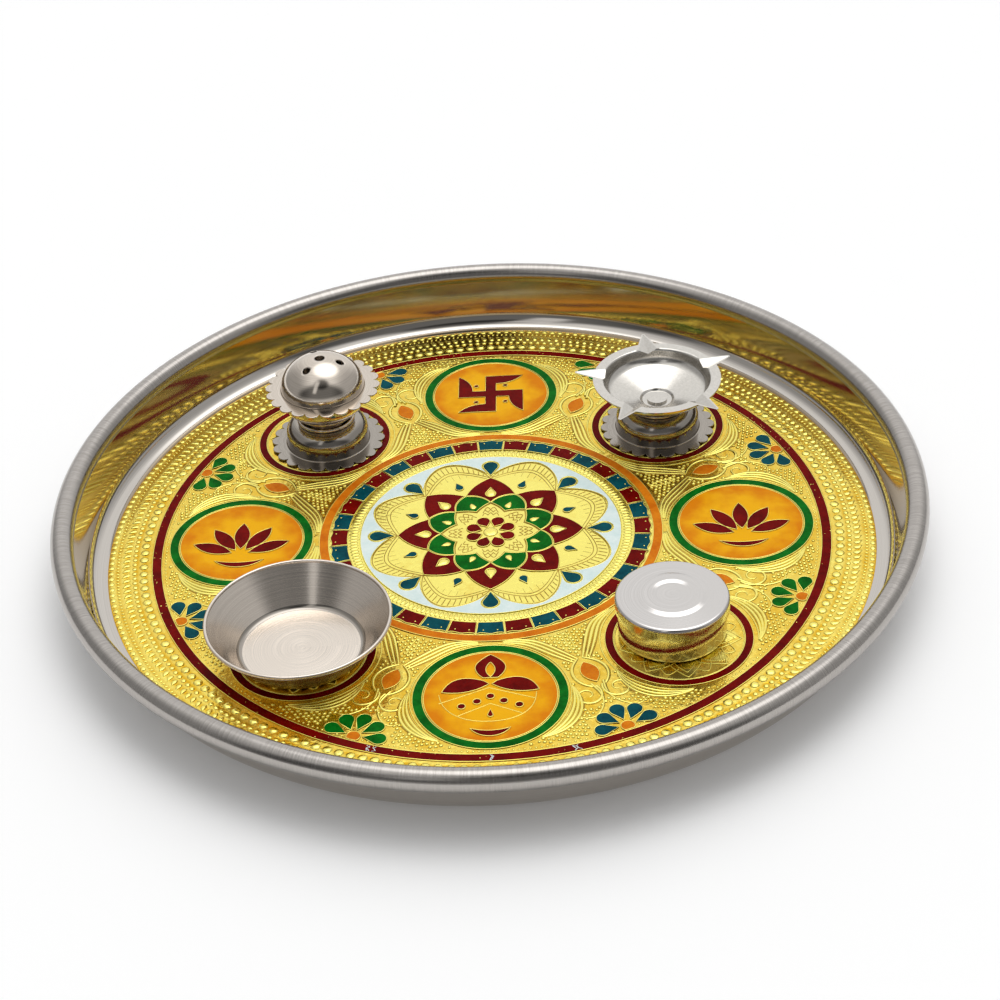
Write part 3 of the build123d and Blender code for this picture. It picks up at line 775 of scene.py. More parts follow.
@dataclass
class Lathe:
    """A closed outline turned about an upright axis.

    Attributes:
        outline: Points of radius and height.
        axis: Place of the axis.
        level: Height added to the outline.
        segments: Number of steps around.
        swell: For each point the share by which its radius follows the lobes, or None.
        lobe: Radius as a function of the angle, used with swell.
    """

    outline: Sequence[Pair]
    axis: Pair = (0.0, 0.0)
    level: float = 0.0
    segments: int = 160
    swell: Sequence[float] | None = None
    lobe: Callable[[np.ndarray], np.ndarray] | None = None

    def guarded(self, long: float = 1.5, inset: float = 0.3) -> tuple[list[Pair], list[float]]:
        """Outline with extra points beside the ends of long straight runs, which keep the shading true.

        Args:
            long: Length from which a run gets the points.
            inset: Their distance from the ends.

        Returns:
            The points, and for each the share by which it follows the lobes.
        """
        given = self.swell if self.swell is not None else [0.0] * len(self.outline)
        kept = [k for k, p in enumerate(self.outline) if math.dist(p, self.outline[k - 1]) > 1e-5]
        outline: list[Pair] = []
        swell: list[float] = []
        for place, index in enumerate(kept):
            following = kept[(place + 1) % len(kept)]
            start, end = np.array(self.outline[index]), np.array(self.outline[following])
            length = float(np.linalg.norm(end - start))
            shares = [0.0]
            if length > long and max(start[0], end[0]) > 1e-6:
                shares += [inset / length, 1.0 - inset / length]
            for share in shares:
                spot = start + (end - start) * share
                outline.append((float(spot[0]), float(spot[1])))
                swell.append(given[index] + (given[following] - given[index]) * share)
        return outline, swell

    def build(
        self,
        name: str,
        materials: Sequence[bpy.types.Material],
        pick: Callable[[float, float], int] | None = None,
    ) -> bpy.types.Object:
        """Make the turned mesh.

        Args:
            name: Name of the object.
            materials: Materials of the object.
            pick: Material of a face from the radius and height of its middle, or None.

        Returns:
            The new object.
        """
        outline, swell = self.guarded()
        angles = np.linspace(0.0, 2 * math.pi, self.segments, endpoint=False)
        lobe = self.lobe(angles) if self.lobe is not None else np.zeros_like(angles)
        rows: list[np.ndarray] = []
        points: list[np.ndarray] = []
        total = 0
        for (radius, height), share in zip(outline, swell):
            if radius < 1e-6:
                points.append(np.array([[*self.axis, height + self.level]]))
                rows.append(np.array([total]))
                total += 1
                continue
            reach = radius + share * lobe
            ring = np.column_stack(
                [
                    self.axis[0] + reach * np.cos(angles),
                    self.axis[1] + reach * np.sin(angles),
                    np.full(self.segments, height + self.level),
                ]
            )
            points.append(ring)
            rows.append(np.arange(total, total + self.segments))
            total += self.segments
        steps = [math.dist(a, b) for a, b in zip(outline, [*outline[1:], outline[0]])]
        path = np.concatenate([[0.0], np.cumsum(steps)])
        around = np.mean([p[0] for p in outline]) * 2 * math.pi / self.segments
        faces: list[tuple[int, ...]] = []
        uvs: list[Pair] = []
        picks: list[int] = []
        for index in range(len(outline)):
            following = (index + 1) % len(outline)
            low, high = rows[index], rows[following]
            if len(low) == 1 and len(high) == 1:
                continue
            chosen = 0
            if pick is not None:
                chosen = pick(
                    (outline[index][0] + outline[following][0]) / 2,
                    (outline[index][1] + outline[following][1]) / 2,
                )
            v0, v1 = float(path[index]), float(path[index + 1])
            for k in range(self.segments):
                n = (k + 1) % self.segments
                u0, u1 = k * around, (k + 1) * around
                if len(low) == 1:
                    faces.append((low[0], high[k], high[n]))
                    uvs += [(u0, v0), (u0, v1), (u1, v1)]
                elif len(high) == 1:
                    faces.append((low[k], high[0], low[n]))
                    uvs += [(u0, v0), (u0, v1), (u1, v0)]
                else:
                    faces.append((low[k], high[k], high[n], low[n]))
                    uvs += [(u0, v0), (u0, v1), (u1, v1), (u1, v0)]
                picks.append(chosen)
        return mesh_object(name, np.concatenate(points), faces, materials, np.array(uvs), picks)


class NodeTree:
    """Builds a geometry node tree with named inputs and bakes it on objects."""

    def __init__(self, name: str, **inputs: str) -> None:
        """Start a tree.

        Args:
            name: Name of the tree.
            inputs: Kind of each input after the geometry, by its name.
        """
        self.tree = bpy.data.node_groups.new(name, "GeometryNodeTree")
        self.keys: dict[str, str] = {}
        face = self.tree.interface
        face.new_socket("Geometry", in_out="INPUT", socket_type="NodeSocketGeometry")
        for label, kind in {**inputs, "Material": "Material"}.items():
            made = face.new_socket(label, in_out="INPUT", socket_type=f"NodeSocket{kind}")
            self.keys[label] = made.identifier
        face.new_socket("Geometry", in_out="OUTPUT", socket_type="NodeSocketGeometry")
        self.source = self.tree.nodes.new("NodeGroupInput")
        self.result = self.tree.nodes.new("NodeGroupOutput")

    def node(self, kind: str, links: dict[str, Any] | None = None, **settings: Any) -> bpy.types.Node:
        """Add a node and feed its inputs.

        Args:
            kind: Node type.
            links: Socket identifier or index against an output socket or a value.
            settings: Properties of the node to set.

        Returns:
            The new node.
        """
        made = self.tree.nodes.new(kind)
        for key, value in settings.items():
            setattr(made, key, value)
        for key, value in (links or {}).items():
            socket = self.socket(made, key)
            if isinstance(value, bpy.types.NodeSocket):
                self.tree.links.new(value, socket)
            else:
                socket.default_value = value
        return made

    @staticmethod
    def socket(node: bpy.types.Node, key: Any) -> bpy.types.NodeSocket:
        """Find an input socket.

        Args:
            node: The node.
            key: Its index or identifier.

        Returns:
            The socket.
        """
        if isinstance(key, int):
            return node.inputs[key]
        return next(s for s in node.inputs if s.identifier == key)

    def given(self, label: str) -> bpy.types.NodeSocket:
        """Socket of a named input.

        Args:
            label: Name of the input.

        Returns:
            The output socket of the group input node.
        """
        return self.source.outputs[label]

    def calc(self, operation: str, *values: Any) -> bpy.types.NodeSocket:
        """Arithmetic on values.

        Args:
            operation: Name of the operation.
            values: Values or sockets.

        Returns:
            The value socket.
        """
        made = self.node("ShaderNodeMath", dict(enumerate(values)), operation=operation)
        return made.outputs[0]

    def vector(self, x: Any, y: Any, z: Any) -> bpy.types.NodeSocket:
        """Vector from three values.

        Args:
            x: First value or socket.
            y: Second value or socket.
            z: Third value or socket.

        Returns:
            The vector socket.
        """
        return self.node("ShaderNodeCombineXYZ", {0: x, 1: y, 2: z}).outputs[0]

    def copies(self, geometry: bpy.types.NodeSocket, count: Any, start: Any) -> bpy.types.NodeSocket:
        """Repeat a geometry about the upright axis.

        Args:
            geometry: Geometry to repeat.
            count: Number of copies.
            start: Angle of the first copy, in radians.

        Returns:
            The instances.
        """
        line = self.node("GeometryNodeMeshLine", {"Count": count, "Offset": (0.0, 0.0, 0.0)})
        index = self.node("GeometryNodeInputIndex").outputs[0]
        share = self.calc("DIVIDE", index, count)
        angle = self.calc("MULTIPLY_ADD", share, 2 * math.pi, start)
        turn = self.node("FunctionNodeEulerToRotation", {"Euler": self.vector(0.0, 0.0, angle)})
        placed = self.node(
            "GeometryNodeInstanceOnPoints",
            {"Points": line.outputs[0], "Instance": geometry, "Rotation": turn.outputs[0]},
        )
        return placed.outputs[0]

    def close(self, geometry: bpy.types.NodeSocket) -> None:
        """Finish the tree: real mesh, smooth shading and material.

        Args:
            geometry: Geometry to hand out.
        """
        real = self.node("GeometryNodeRealizeInstances", {"Geometry": geometry})
        smooth = self.node("GeometryNodeSetShadeSmooth", {"Geometry": real.outputs[0]})
        coloured = self.node(
            "GeometryNodeSetMaterial",
            {"Geometry": smooth.outputs[0], "Material": self.given("Material")},
        )
        self.tree.links.new(coloured.outputs[0], self.result.inputs[0])

    def bake(self, target: bpy.types.Object, values: dict[str, Any]) -> bpy.types.Object:
        """Run the tree on an object and keep the result as a plain mesh.

        Args:
            target: Object whose mesh is the tree's geometry.
            values: Value of each named input.

        Returns:
            The same object with its new mesh.
        """
        modifier = target.modifiers.new(self.tree.name, "NODES")
        modifier.node_group = self.tree
        for label, value in values.items():
            modifier[self.keys[label]] = value
        return settle(target)


class RowTree(NodeTree):
    """Row of small shapes on a circle."""

    def __init__(self) -> None:
        """Build the tree."""
        super().__init__(
            "row_of_shapes",
            Shape="Object",
            Count="Int",
            Radius="Float",
            Level="Float",
            Start="Float",
            Turn="Float",
            Jitter="Float",
            Seed="Int",
        )
        circle = self.node(
            "GeometryNodeMeshCircle", {"Vertices": self.given("Count"), "Radius": self.given("Radius")}
        )
        begin = self.node(
            "FunctionNodeEulerToRotation", {"Euler": self.vector(0.0, 0.0, self.given("Start"))}
        )
        placed = self.node(
            "GeometryNodeTransform",
            {
                "Geometry": circle.outputs[0],
                "Translation": self.vector(0.0, 0.0, self.given("Level")),
                "Rotation": begin.outputs[0],
            },
        )
        split = self.node(
            "ShaderNodeSeparateXYZ", {0: self.node("GeometryNodeInputPosition").outputs[0]}
        )
        heading = self.calc("ARCTAN2", split.outputs["Y"], split.outputs["X"])
        wander = self.node(
            "FunctionNodeRandomValue",
            {
                "Min_001": self.calc("MULTIPLY", self.given("Jitter"), -1.0),
                "Max_001": self.given("Jitter"),
                "Seed": self.given("Seed"),
            },
            data_type="FLOAT",
        )
        angle = self.calc("ADD", self.calc("ADD", heading, self.given("Turn")), wander.outputs[1])
        turn = self.node("FunctionNodeEulerToRotation", {"Euler": self.vector(0.0, 0.0, angle)})
        size = self.calc("ADD", 1.0, wander.outputs[1])
        shape = self.node("GeometryNodeObjectInfo", {"Object": self.given("Shape")})
        rows = self.node(
            "GeometryNodeInstanceOnPoints",
            {
                "Points": placed.outputs[0],
                "Instance": shape.outputs["Geometry"],
                "Rotation": turn.outputs[0],
                "Scale": self.vector(size, size, size),
            },
        )
        self.close(rows.outputs[0])


class ScatterTree(NodeTree):
    """Small domes on given points, repeated about the axis."""

    def __init__(self) -> None:
        """Build the tree."""
        super().__init__(
            "stipple",
            Radius="Float",
            Height="Float",
            Jitter="Float",
            Seed="Int",
            Copies="Int",
            Start="Float",
        )
        dome = self.node("GeometryNodeMeshUVSphere", {"Segments": 7, "Rings": 4, "Radius": 1.0})
        size = self.node(
            "FunctionNodeRandomValue",
            {
                "Min_001": self.calc("SUBTRACT", 1.0, self.given("Jitter")),
                "Max_001": self.calc("ADD", 1.0, self.given("Jitter")),
                "Seed": self.given("Seed"),
            },
            data_type="FLOAT",
        )
        reach = self.calc("MULTIPLY", self.given("Radius"), size.outputs[1])
        dots = self.node(
            "GeometryNodeInstanceOnPoints",
            {
                "Points": self.given("Geometry"),
                "Instance": dome.outputs[0],
                "Scale": self.vector(reach, reach, self.given("Height")),
            },
        )
        real = self.node("GeometryNodeRealizeInstances", {"Geometry": dots.outputs[0]})
        self.close(self.copies(real.outputs[0], self.given("Copies"), self.given("Start")))


class SweepTree(NodeTree):
    """Raised lines along paths, repeated about the axis."""

    def __init__(self) -> None:
        """Build the tree."""
        super().__init__(
            "raised_lines",
            Width="Float",
            Height="Float",
            Sides="Int",
            Copies="Int",
            Start="Float",
        )
        curve = self.node("GeometryNodeMeshToCurve", {"Mesh": self.given("Geometry")})
        upright = self.node("GeometryNodeSetCurveNormal", {"Curve": curve.outputs[0]}, mode="Z_UP")
        section = self.node(
            "GeometryNodeCurvePrimitiveCircle",
            {"Resolution": self.given("Sides"), "Radius": 1.0},
            mode="RADIUS",
        )
        half = self.calc("DIVIDE", self.given("Width"), 2.0)
        shaped = self.node(
            "GeometryNodeTransform",
            {"Geometry": section.outputs[0], "Scale": self.vector(half, self.given("Height"), 1.0)},
        )
        taper = self.node("GeometryNodeInputNamedAttribute", {"Name": TAPER_NAME}, data_type="FLOAT")
        swept = self.node(
            "GeometryNodeCurveToMesh",
            {
                "Curve": upright.outputs[0],
                "Profile Curve": shaped.outputs[0],
                "Scale": taper.outputs[0],
                "Fill Caps": True,
            },
        )
        self.close(self.copies(swept.outputs[0], self.given("Copies"), self.given("Start")))


@dataclass
class Trees:
    """The node trees, each built once."""

    row: RowTree = field(default_factory=RowTree)
    scatter: ScatterTree = field(default_factory=ScatterTree)
    sweep: SweepTree = field(default_factory=SweepTree)


@dataclass
class Strokes:
    """Paths in millimetres that one sweep turns into raised lines."""

    lines: list[np.ndarray] = field(default_factory=list)
    tapers: list[np.ndarray] = field(default_factory=list)
    loops: list[bool] = field(default_factory=list)

    def add(
        self,
        points: Iterable[Sequence[float]],
        level: float,
        taper: Taper = Taper.EVEN,
        closed: bool = False,
    ) -> None:
        """Add one path at a level.

        Args:
            points: Points in the plane.
            level: Height of the path.
            taper: How the line changes along its length.
            closed: Whether the last point joins the first.
        """
        flat = np.array([[p[0], p[1]] for p in points], dtype=float)
        if len(flat) < 2:
            return
        place = np.linspace(0.0, 1.0, len(flat))
        if taper is Taper.ENDS:
            size = 0.35 + 0.65 * np.sin(np.pi * place) ** 0.6
        elif taper is Taper.TAIL:
            size = 1.0 - 0.65 * place
        else:
            size = np.ones(len(flat))
        self.lines.append(np.column_stack([flat, np.full(len(flat), level)]))
        self.tapers.append(size)
        self.loops.append(closed)

    def circle(self, radius: float, level: float, centre: Pair = (0.0, 0.0), step: float = 1.2) -> None:
        """Add a full circle.

        Args:
            radius: Radius.
            level: Height.
            centre: Centre of the circle.
            step: Wanted spacing of the points.
        """
        count = max(24, int(2 * math.pi * radius / step))
        angles = np.linspace(0.0, 2 * math.pi, count, endpoint=False)
        ring = radius * np.column_stack([np.cos(angles), np.sin(angles)]) + np.array(centre)
        self.add(ring, level, closed=True)

    def carrier(self, name: str) -> bpy.types.Object:
        """Make the mesh of edges that the sweep starts from.

        Args:
            name: Name of the object.

        Returns:
            The object.
        """
        points = np.concatenate(self.lines)
        edges: list[Pair] = []
        start = 0
        for line, closed in zip(self.lines, self.loops):
            last = start + len(line) - 1
            edges += [(k, k + 1) for k in range(start, last)]
            if closed:
                edges.append((last, start))
            start = last + 1
        mesh = bpy.data.meshes.new(name)
        mesh.from_pydata((points * MM).tolist(), edges, [])
        layer = mesh.attributes.new(TAPER_NAME, "FLOAT", "POINT")
        layer.data.foreach_set("value", np.concatenate(self.tapers).astype(np.float32))
        return in_scene(name, mesh)


@dataclass
class Studio:
    """What every piece needs: trees, materials and the thali's levels."""

    trees: Trees
    finishes: Finishes
    levels: Levels = field(default_factory=Levels)

    def keep(self, piece: bpy.types.Object, body: Body, slot: Slot, *nodes: str) -> bpy.types.Object:
        """Tie a piece to its body and hide the frame nodes it stands for.

        Args:
            piece: The piece.
            body: Body it moves with.
            slot: Material slot; not used.
            nodes: Nodes of the frame that it replaces.

        Returns:
            The piece.
        """
        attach(piece, body.value)
        if nodes:
            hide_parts(*nodes)
        log.info("%s: %d faces", piece.name, len(piece.data.polygons))
        return piece

    def spin(
        self,
        lathe: Lathe,
        name: str,
        steels: Sequence[str],
        body: Body,
        node: str,
        pick: Callable[[float, float], int] | None = None,
    ) -> bpy.types.Object:
        """Make a turned steel piece.

        Args:
            lathe: Its lathe.
            name: Name of the piece.
            steels: Names of its steels.
            body: Body it moves with.
            node: Node of the frame that it replaces.
            pick: Steel of a face from the radius and height of its middle, or None.

        Returns:
            The piece.
        """
        made = lathe.build(name, [self.finishes.steel[key] for key in steels], pick)
        return self.keep(made, body, Slot.STEEL, node)

    def sweep(
        self,
        name: str,
        strokes: Strokes,
        width: float,
        height: float,
        copies: int = 1,
        start_deg: float = 0.0,
        sides: int = 6,
        material: bpy.types.Material | None = None,
        slot: Slot = Slot.GOLD,
    ) -> bpy.types.Object:
        """Turn strokes into a piece of raised lines on the thali.

        Args:
            name: Name of the piece.
            strokes: The paths.
            width: Width of the lines.
            height: Height of the lines above their path.
            copies: Number of copies about the axis.
            start_deg: Angle of the first copy.
            sides: Sides of the section.
            material: Material, or None for the raised gold.
            slot: Material slot.

        Returns:
            The piece.
        """
        made = self.trees.sweep.bake(
            strokes.carrier(name),
            {
                "Width": width * MM,
                "Height": height * MM,
                "Sides": sides,
                "Copies": copies,
                "Start": math.radians(start_deg),
                "Material": material or self.finishes.gold["wire"],
            },
        )
        return self.keep(made, Body.THALI, slot)

    def row(
        self,
        name: str,
        outline: np.ndarray,
        height: float,
        count: int,
        radius: float,
        level: float,
        seed: int,
        start_deg: float = 0.0,
        turn_deg: float = 0.0,
        jitter: float = 0.04,
        rings: int = 3,
    ) -> bpy.types.Object:
        """Repeat a small raised shape along a circle of the thali.

        Args:
            name: Name of the piece.
            outline: Outline of the shape with its length outward along X.
            height: Height of the shape.
            count: Number of copies.
            radius: Radius of the circle.
            level: Height of the row.
            seed: Seed of the random values.
            start_deg: Angle of the first copy.
            turn_deg: Turn of each copy.
            jitter: Random share of size and angle.
            rings: Steps from the shape's edge to its top.

        Returns:
            The piece.
        """
        shape = pillow(f"{name}_shape", outline, height, rings=rings)
        made = self.trees.row.bake(
            in_scene(name, bpy.data.meshes.new(name)),
            {
                "Shape": shape,
                "Count": count,
                "Radius": radius * MM,
                "Level": level * MM,
                "Start": math.radians(start_deg),
                "Turn": math.radians(turn_deg),
                "Jitter": jitter,
                "Seed": seed,
                "Material": self.finishes.gold["foil"],
            },
        )
        bpy.data.objects.remove(shape)
        return self.keep(made, Body.THALI, Slot.GOLD)

    def dots(
        self,
        name: str,
        spots: Sequence[Sequence[float]],
        radius: float,
        height: float,
        jitter: float,
        seed: int,
        material: bpy.types.Material,
        copies: int = 1,
        start: float = 0.0,
    ) -> bpy.types.Object:
        """Set small domes on points of the thali.

        Args:
            name: Name of the piece.
            spots: Places of the domes.
            radius: Radius of a dome.
            height: Height of a dome.
            jitter: Random share of the radius.
            seed: Seed of the random values.
            material: Material of the domes.
            copies: Number of copies about the axis.
            start: Angle of the first copy, in radians.

        Returns:
            The piece.
        """
        mesh = bpy.data.meshes.new(name)
        mesh.from_pydata((np.array(spots) * MM).tolist(), [], [])
        made = self.trees.scatter.bake(
            in_scene(name, mesh),
            {
                "Radius": radius * MM,
                "Height": height * MM,
                "Jitter": jitter,
                "Seed": seed,
                "Copies": copies,
                "Start": start,
                "Material": material,
            },
        )
        return self.keep(made, Body.THALI, Slot.GOLD)


def pillow(
    name: str, outline: np.ndarray, height: float, depth: float = 0.15, rings: int = 3
) -> bpy.types.Object:
    """Small raised shape with a rounded top over a flat outline.

    Args:
        name: Name of the object.
        outline: Outline about the origin, counter-clockwise.
        height: Height of the top.
        depth: How far the foot goes below zero.
        rings: Steps from the edge to the top.

    Returns:
        The object.
    """
    count = len(outline)
    centre = outline.mean(axis=0)
    layers = [np.column_stack([outline, np.full(count, -depth)])]
    for k in range(rings):
        angle = k / rings * math.pi / 2
        flat = centre + (outline - centre) * math.cos(angle)
        layers.append(np.column_stack([flat, np.full(count, height * math.sin(angle))]))
    points = np.concatenate([*layers, [[*centre, height]]])
    faces: list[tuple[int, ...]] = []
    for layer in range(len(layers) - 1):
        for k in range(count):
            n = (k + 1) % count
            a, b = layer * count, (layer + 1) * count
            faces.append((a + k, a + n, b + n, b + k))
    top = (len(layers) - 1) * count
    faces += [(top + k, top + (k + 1) % count, len(points) - 1) for k in range(count)]
    faces.append(tuple(range(count - 1, -1, -1)))
    return mesh_object(name, points, faces, [], sharp_deg=180.0)


def oval(length: float, width: float, count: int = 10) -> np.ndarray:
    """Oval outline.

    Args:
        length: Length along X.
        width: Width along Y.
        count: Number of points.

    Returns:
        The outline.
    """
    angles = np.linspace(0.0, 2 * math.pi, count, endpoint=False)
    return np.column_stack([length / 2 * np.cos(angles), width / 2 * np.sin(angles)])


def teardrop(length: float, width: float, count: int = 14, tip_out: bool = True) -> np.ndarray:
    """Drop outline with its point along X.

    Args:
        length: Length.
        width: Width.
        count: Number of points.
        tip_out: Whether the point is at the positive end.

    Returns:
        The outline.
    """
    angles = np.linspace(0.0, 2 * math.pi, count, endpoint=False)
    x = np.cos(angles)
    y = np.sin(angles) * np.sin(angles / 2) ** 1.1
    y *= width / 2 / np.abs(y).max()
    made = np.column_stack([length / 2 * x, y])
    return made if tip_out else -made


def hook(length: float, width: float) -> np.ndarray:
    """Comma outline for the slanting border row.

    Args:
        length: Length.
        width: Width.

    Returns:
        The outline.
    """
    made = teardrop(length, width, 12)
    made[:, 1] += 0.22 * width * ((made[:, 0] / length * 2) ** 2 - 0.4)
    return made


def leaf_outline(foot: float, tip: float, half_width: float, step: float = 0.5) -> np.ndarray:
    """Closed leaf along X.

    Args:
        foot: Inner end.
        tip: Outer end.
        half_width: Half of the width.
        step: Spacing of the points.

    Returns:
        The outline.
    """
    upper = spline([(foot, 0.0), ((foot + tip) / 2, half_width), (tip, 0.0)], step)
    lower = upper[::-1][1:-1] * np.array([1.0, -1.0])
    return np.concatenate([upper, lower])


def turned(points: np.ndarray, angle_deg: float, shift: Pair = (0.0, 0.0)) -> np.ndarray:
    """Turn points about the origin and then shift them.

    Args:
        points: Points in the plane.
        angle_deg: Angle.
        shift: Shift after the turn.

    Returns:
        The moved points.
    """
    a = math.radians(angle_deg)
    matrix = np.array([[math.cos(a), math.sin(a)], [-math.sin(a), math.cos(a)]])
    return points @ matrix + np.array(shift)


def outline_loops(node: str) -> list[np.ndarray]:
    """Outlines of a frame node's flat top, in millimetres.

    Args:
        node: Name of the node.

    Returns:
        One closed loop of points in the plane for each outline.
    """
    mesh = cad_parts[node].data
    points = np.empty(len(mesh.vertices) * 3)
    mesh.vertices.foreach_get("co", points)
    points = points.reshape(-1, 3) / MM
    top = points[:, 2].max()
    index: dict[tuple[float, float], int] = {}
    flat: list[Pair] = []

    def key(corner: int) -> int:
        """Number of a welded corner."""
        spot = (round(points[corner, 0], 3), round(points[corner, 1], 3))
        if spot not in index:
            index[spot] = len(flat)
            flat.append((points[corner, 0], points[corner, 1]))
        return index[spot]

    edges: dict[tuple[int, int], int] = {}
    for polygon in mesh.polygons:
        corners = list(polygon.vertices)
        if min(points[c, 2] for c in corners) < top - 0.02:
            continue
        welded = [key(c) for c in corners]
        for a, b in zip(welded, welded[1:] + welded[:1]):
            if a == b:
                continue
            if (b, a) in edges:
                del edges[(b, a)]
            else:
                edges[(a, b)] = 1
    following: dict[int, list[int]] = {}
    for a, b in edges:
        following.setdefault(a, []).append(b)
    loops: list[np.ndarray] = []
    while following:
        start = next(iter(following))
        loop = [start]
        here = start
        while here in following:
            step = following[here].pop()
            if not following[here]:
                del following[here]
            if step == start:
                break
            loop.append(step)
            here = step
        if len(loop) > 2:
            loops.append(np.array([flat[k] for k in loop]))
    return loops


@dataclass
class Piece:
    """Part that is made with the studio's trees, materials and levels."""

    studio: Studio


@dataclass
class ThaliTray(Piece):
    """Spun steel tray: floor, cove, leaning wall and rolled rim."""

    diameter: float = 305.0
    height: float = 24.0
    sheet: float = 0.8
    bead: float = 4.0
    overhang: float = 0.6
    cove: float = 6.0
    lean_deg: float = 12.0
    gap_end_deg: float = 272.0
    floor_reach: float = 130.0

    def outline(self) -> list[Pair]:
        """Outline of the turned sheet.

        Returns:
            Points of radius and height.
        """
        lean = math.radians(self.lean_deg)
        middle = (self.diameter / 2 - self.bead, self.height - self.bead)
        inset = self.bead - self.overhang
        along = np.array([math.sin(lean), math.cos(lean)])
        inward = np.array([-math.cos(lean), math.sin(lean)])
        face = np.array(middle) + inward * inset
        back = np.array(middle) + inward * (inset - self.sheet)
        face_end = face - along * math.sqrt(self.bead**2 - inset**2)
        inner = self.bead - self.sheet
        back_end = back - along * math.sqrt(inner**2 - (inset - self.sheet) ** 2)
        foot = face - along * (face[1] - self.sheet) / math.cos(lean)
        base = back - along * back[1] / math.cos(lean)
        crease = math.degrees(math.atan2(face_end[1] - middle[1], face_end[0] - middle[0]))
        hidden = math.degrees(math.atan2(back_end[1] - middle[1], back_end[0] - middle[0]))
        bead_out = arc_points(middle, self.bead, crease % 360, self.gap_end_deg - 360, 6.0)
        bead_in = arc_points(middle, inner, self.gap_end_deg - 360, hidden % 360, 9.0)
        inside = rounded(
            [(0.0, self.sheet), (foot[0], foot[1]), bead_out[0], (0.0, self.height)],
            [0.0, self.cove, 0.0, 0.0],
            6.0,
        )[:-2]
        outside = rounded(
            [bead_in[-1], (base[0], base[1]), (0.0, 0.0), (0.0, self.height)],
            [0.0, self.cove + self.sheet, 0.0, 0.0],
            6.0,
        )[1:-1]
        floor = [(r, self.sheet) for r in np.linspace(0.0, self.floor_reach, 7)]
        return [*floor, *inside[1:], *bead_out, *bead_in, *outside]

    def build(self) -> bpy.types.Object:
        """Make the tray.

        Returns:
            The piece.
        """
        edge = self.diameter / 2 - 2 * self.bead
        lean = math.radians(self.lean_deg)
        inset = self.bead - self.overhang
        face = (
            self.diameter / 2 - self.bead - inset * math.cos(lean),
            self.height - self.bead + inset * math.sin(lean),
        )

        def pick(radius: float, height: float) -> int:
            """Rim material on the rolled bead; on the inside above the cove the warm, darker wall steel,
            a painted reflection of the gold foil.
            """
            if radius > edge - 0.2 and height > self.height - 2 * self.bead - 0.2:
                return 1
            inside = radius < face[0] - (face[1] - height) * math.tan(lean) + self.sheet / 2
            return 2 if inside and height > self.cove * 0.75 else 0

        lathe, steels = Lathe(self.outline(), segments=384), ("tray", "rim", "wall")
        return self.studio.spin(lathe, "tray_body", steels, Body.THALI, "thali_tray", pick)


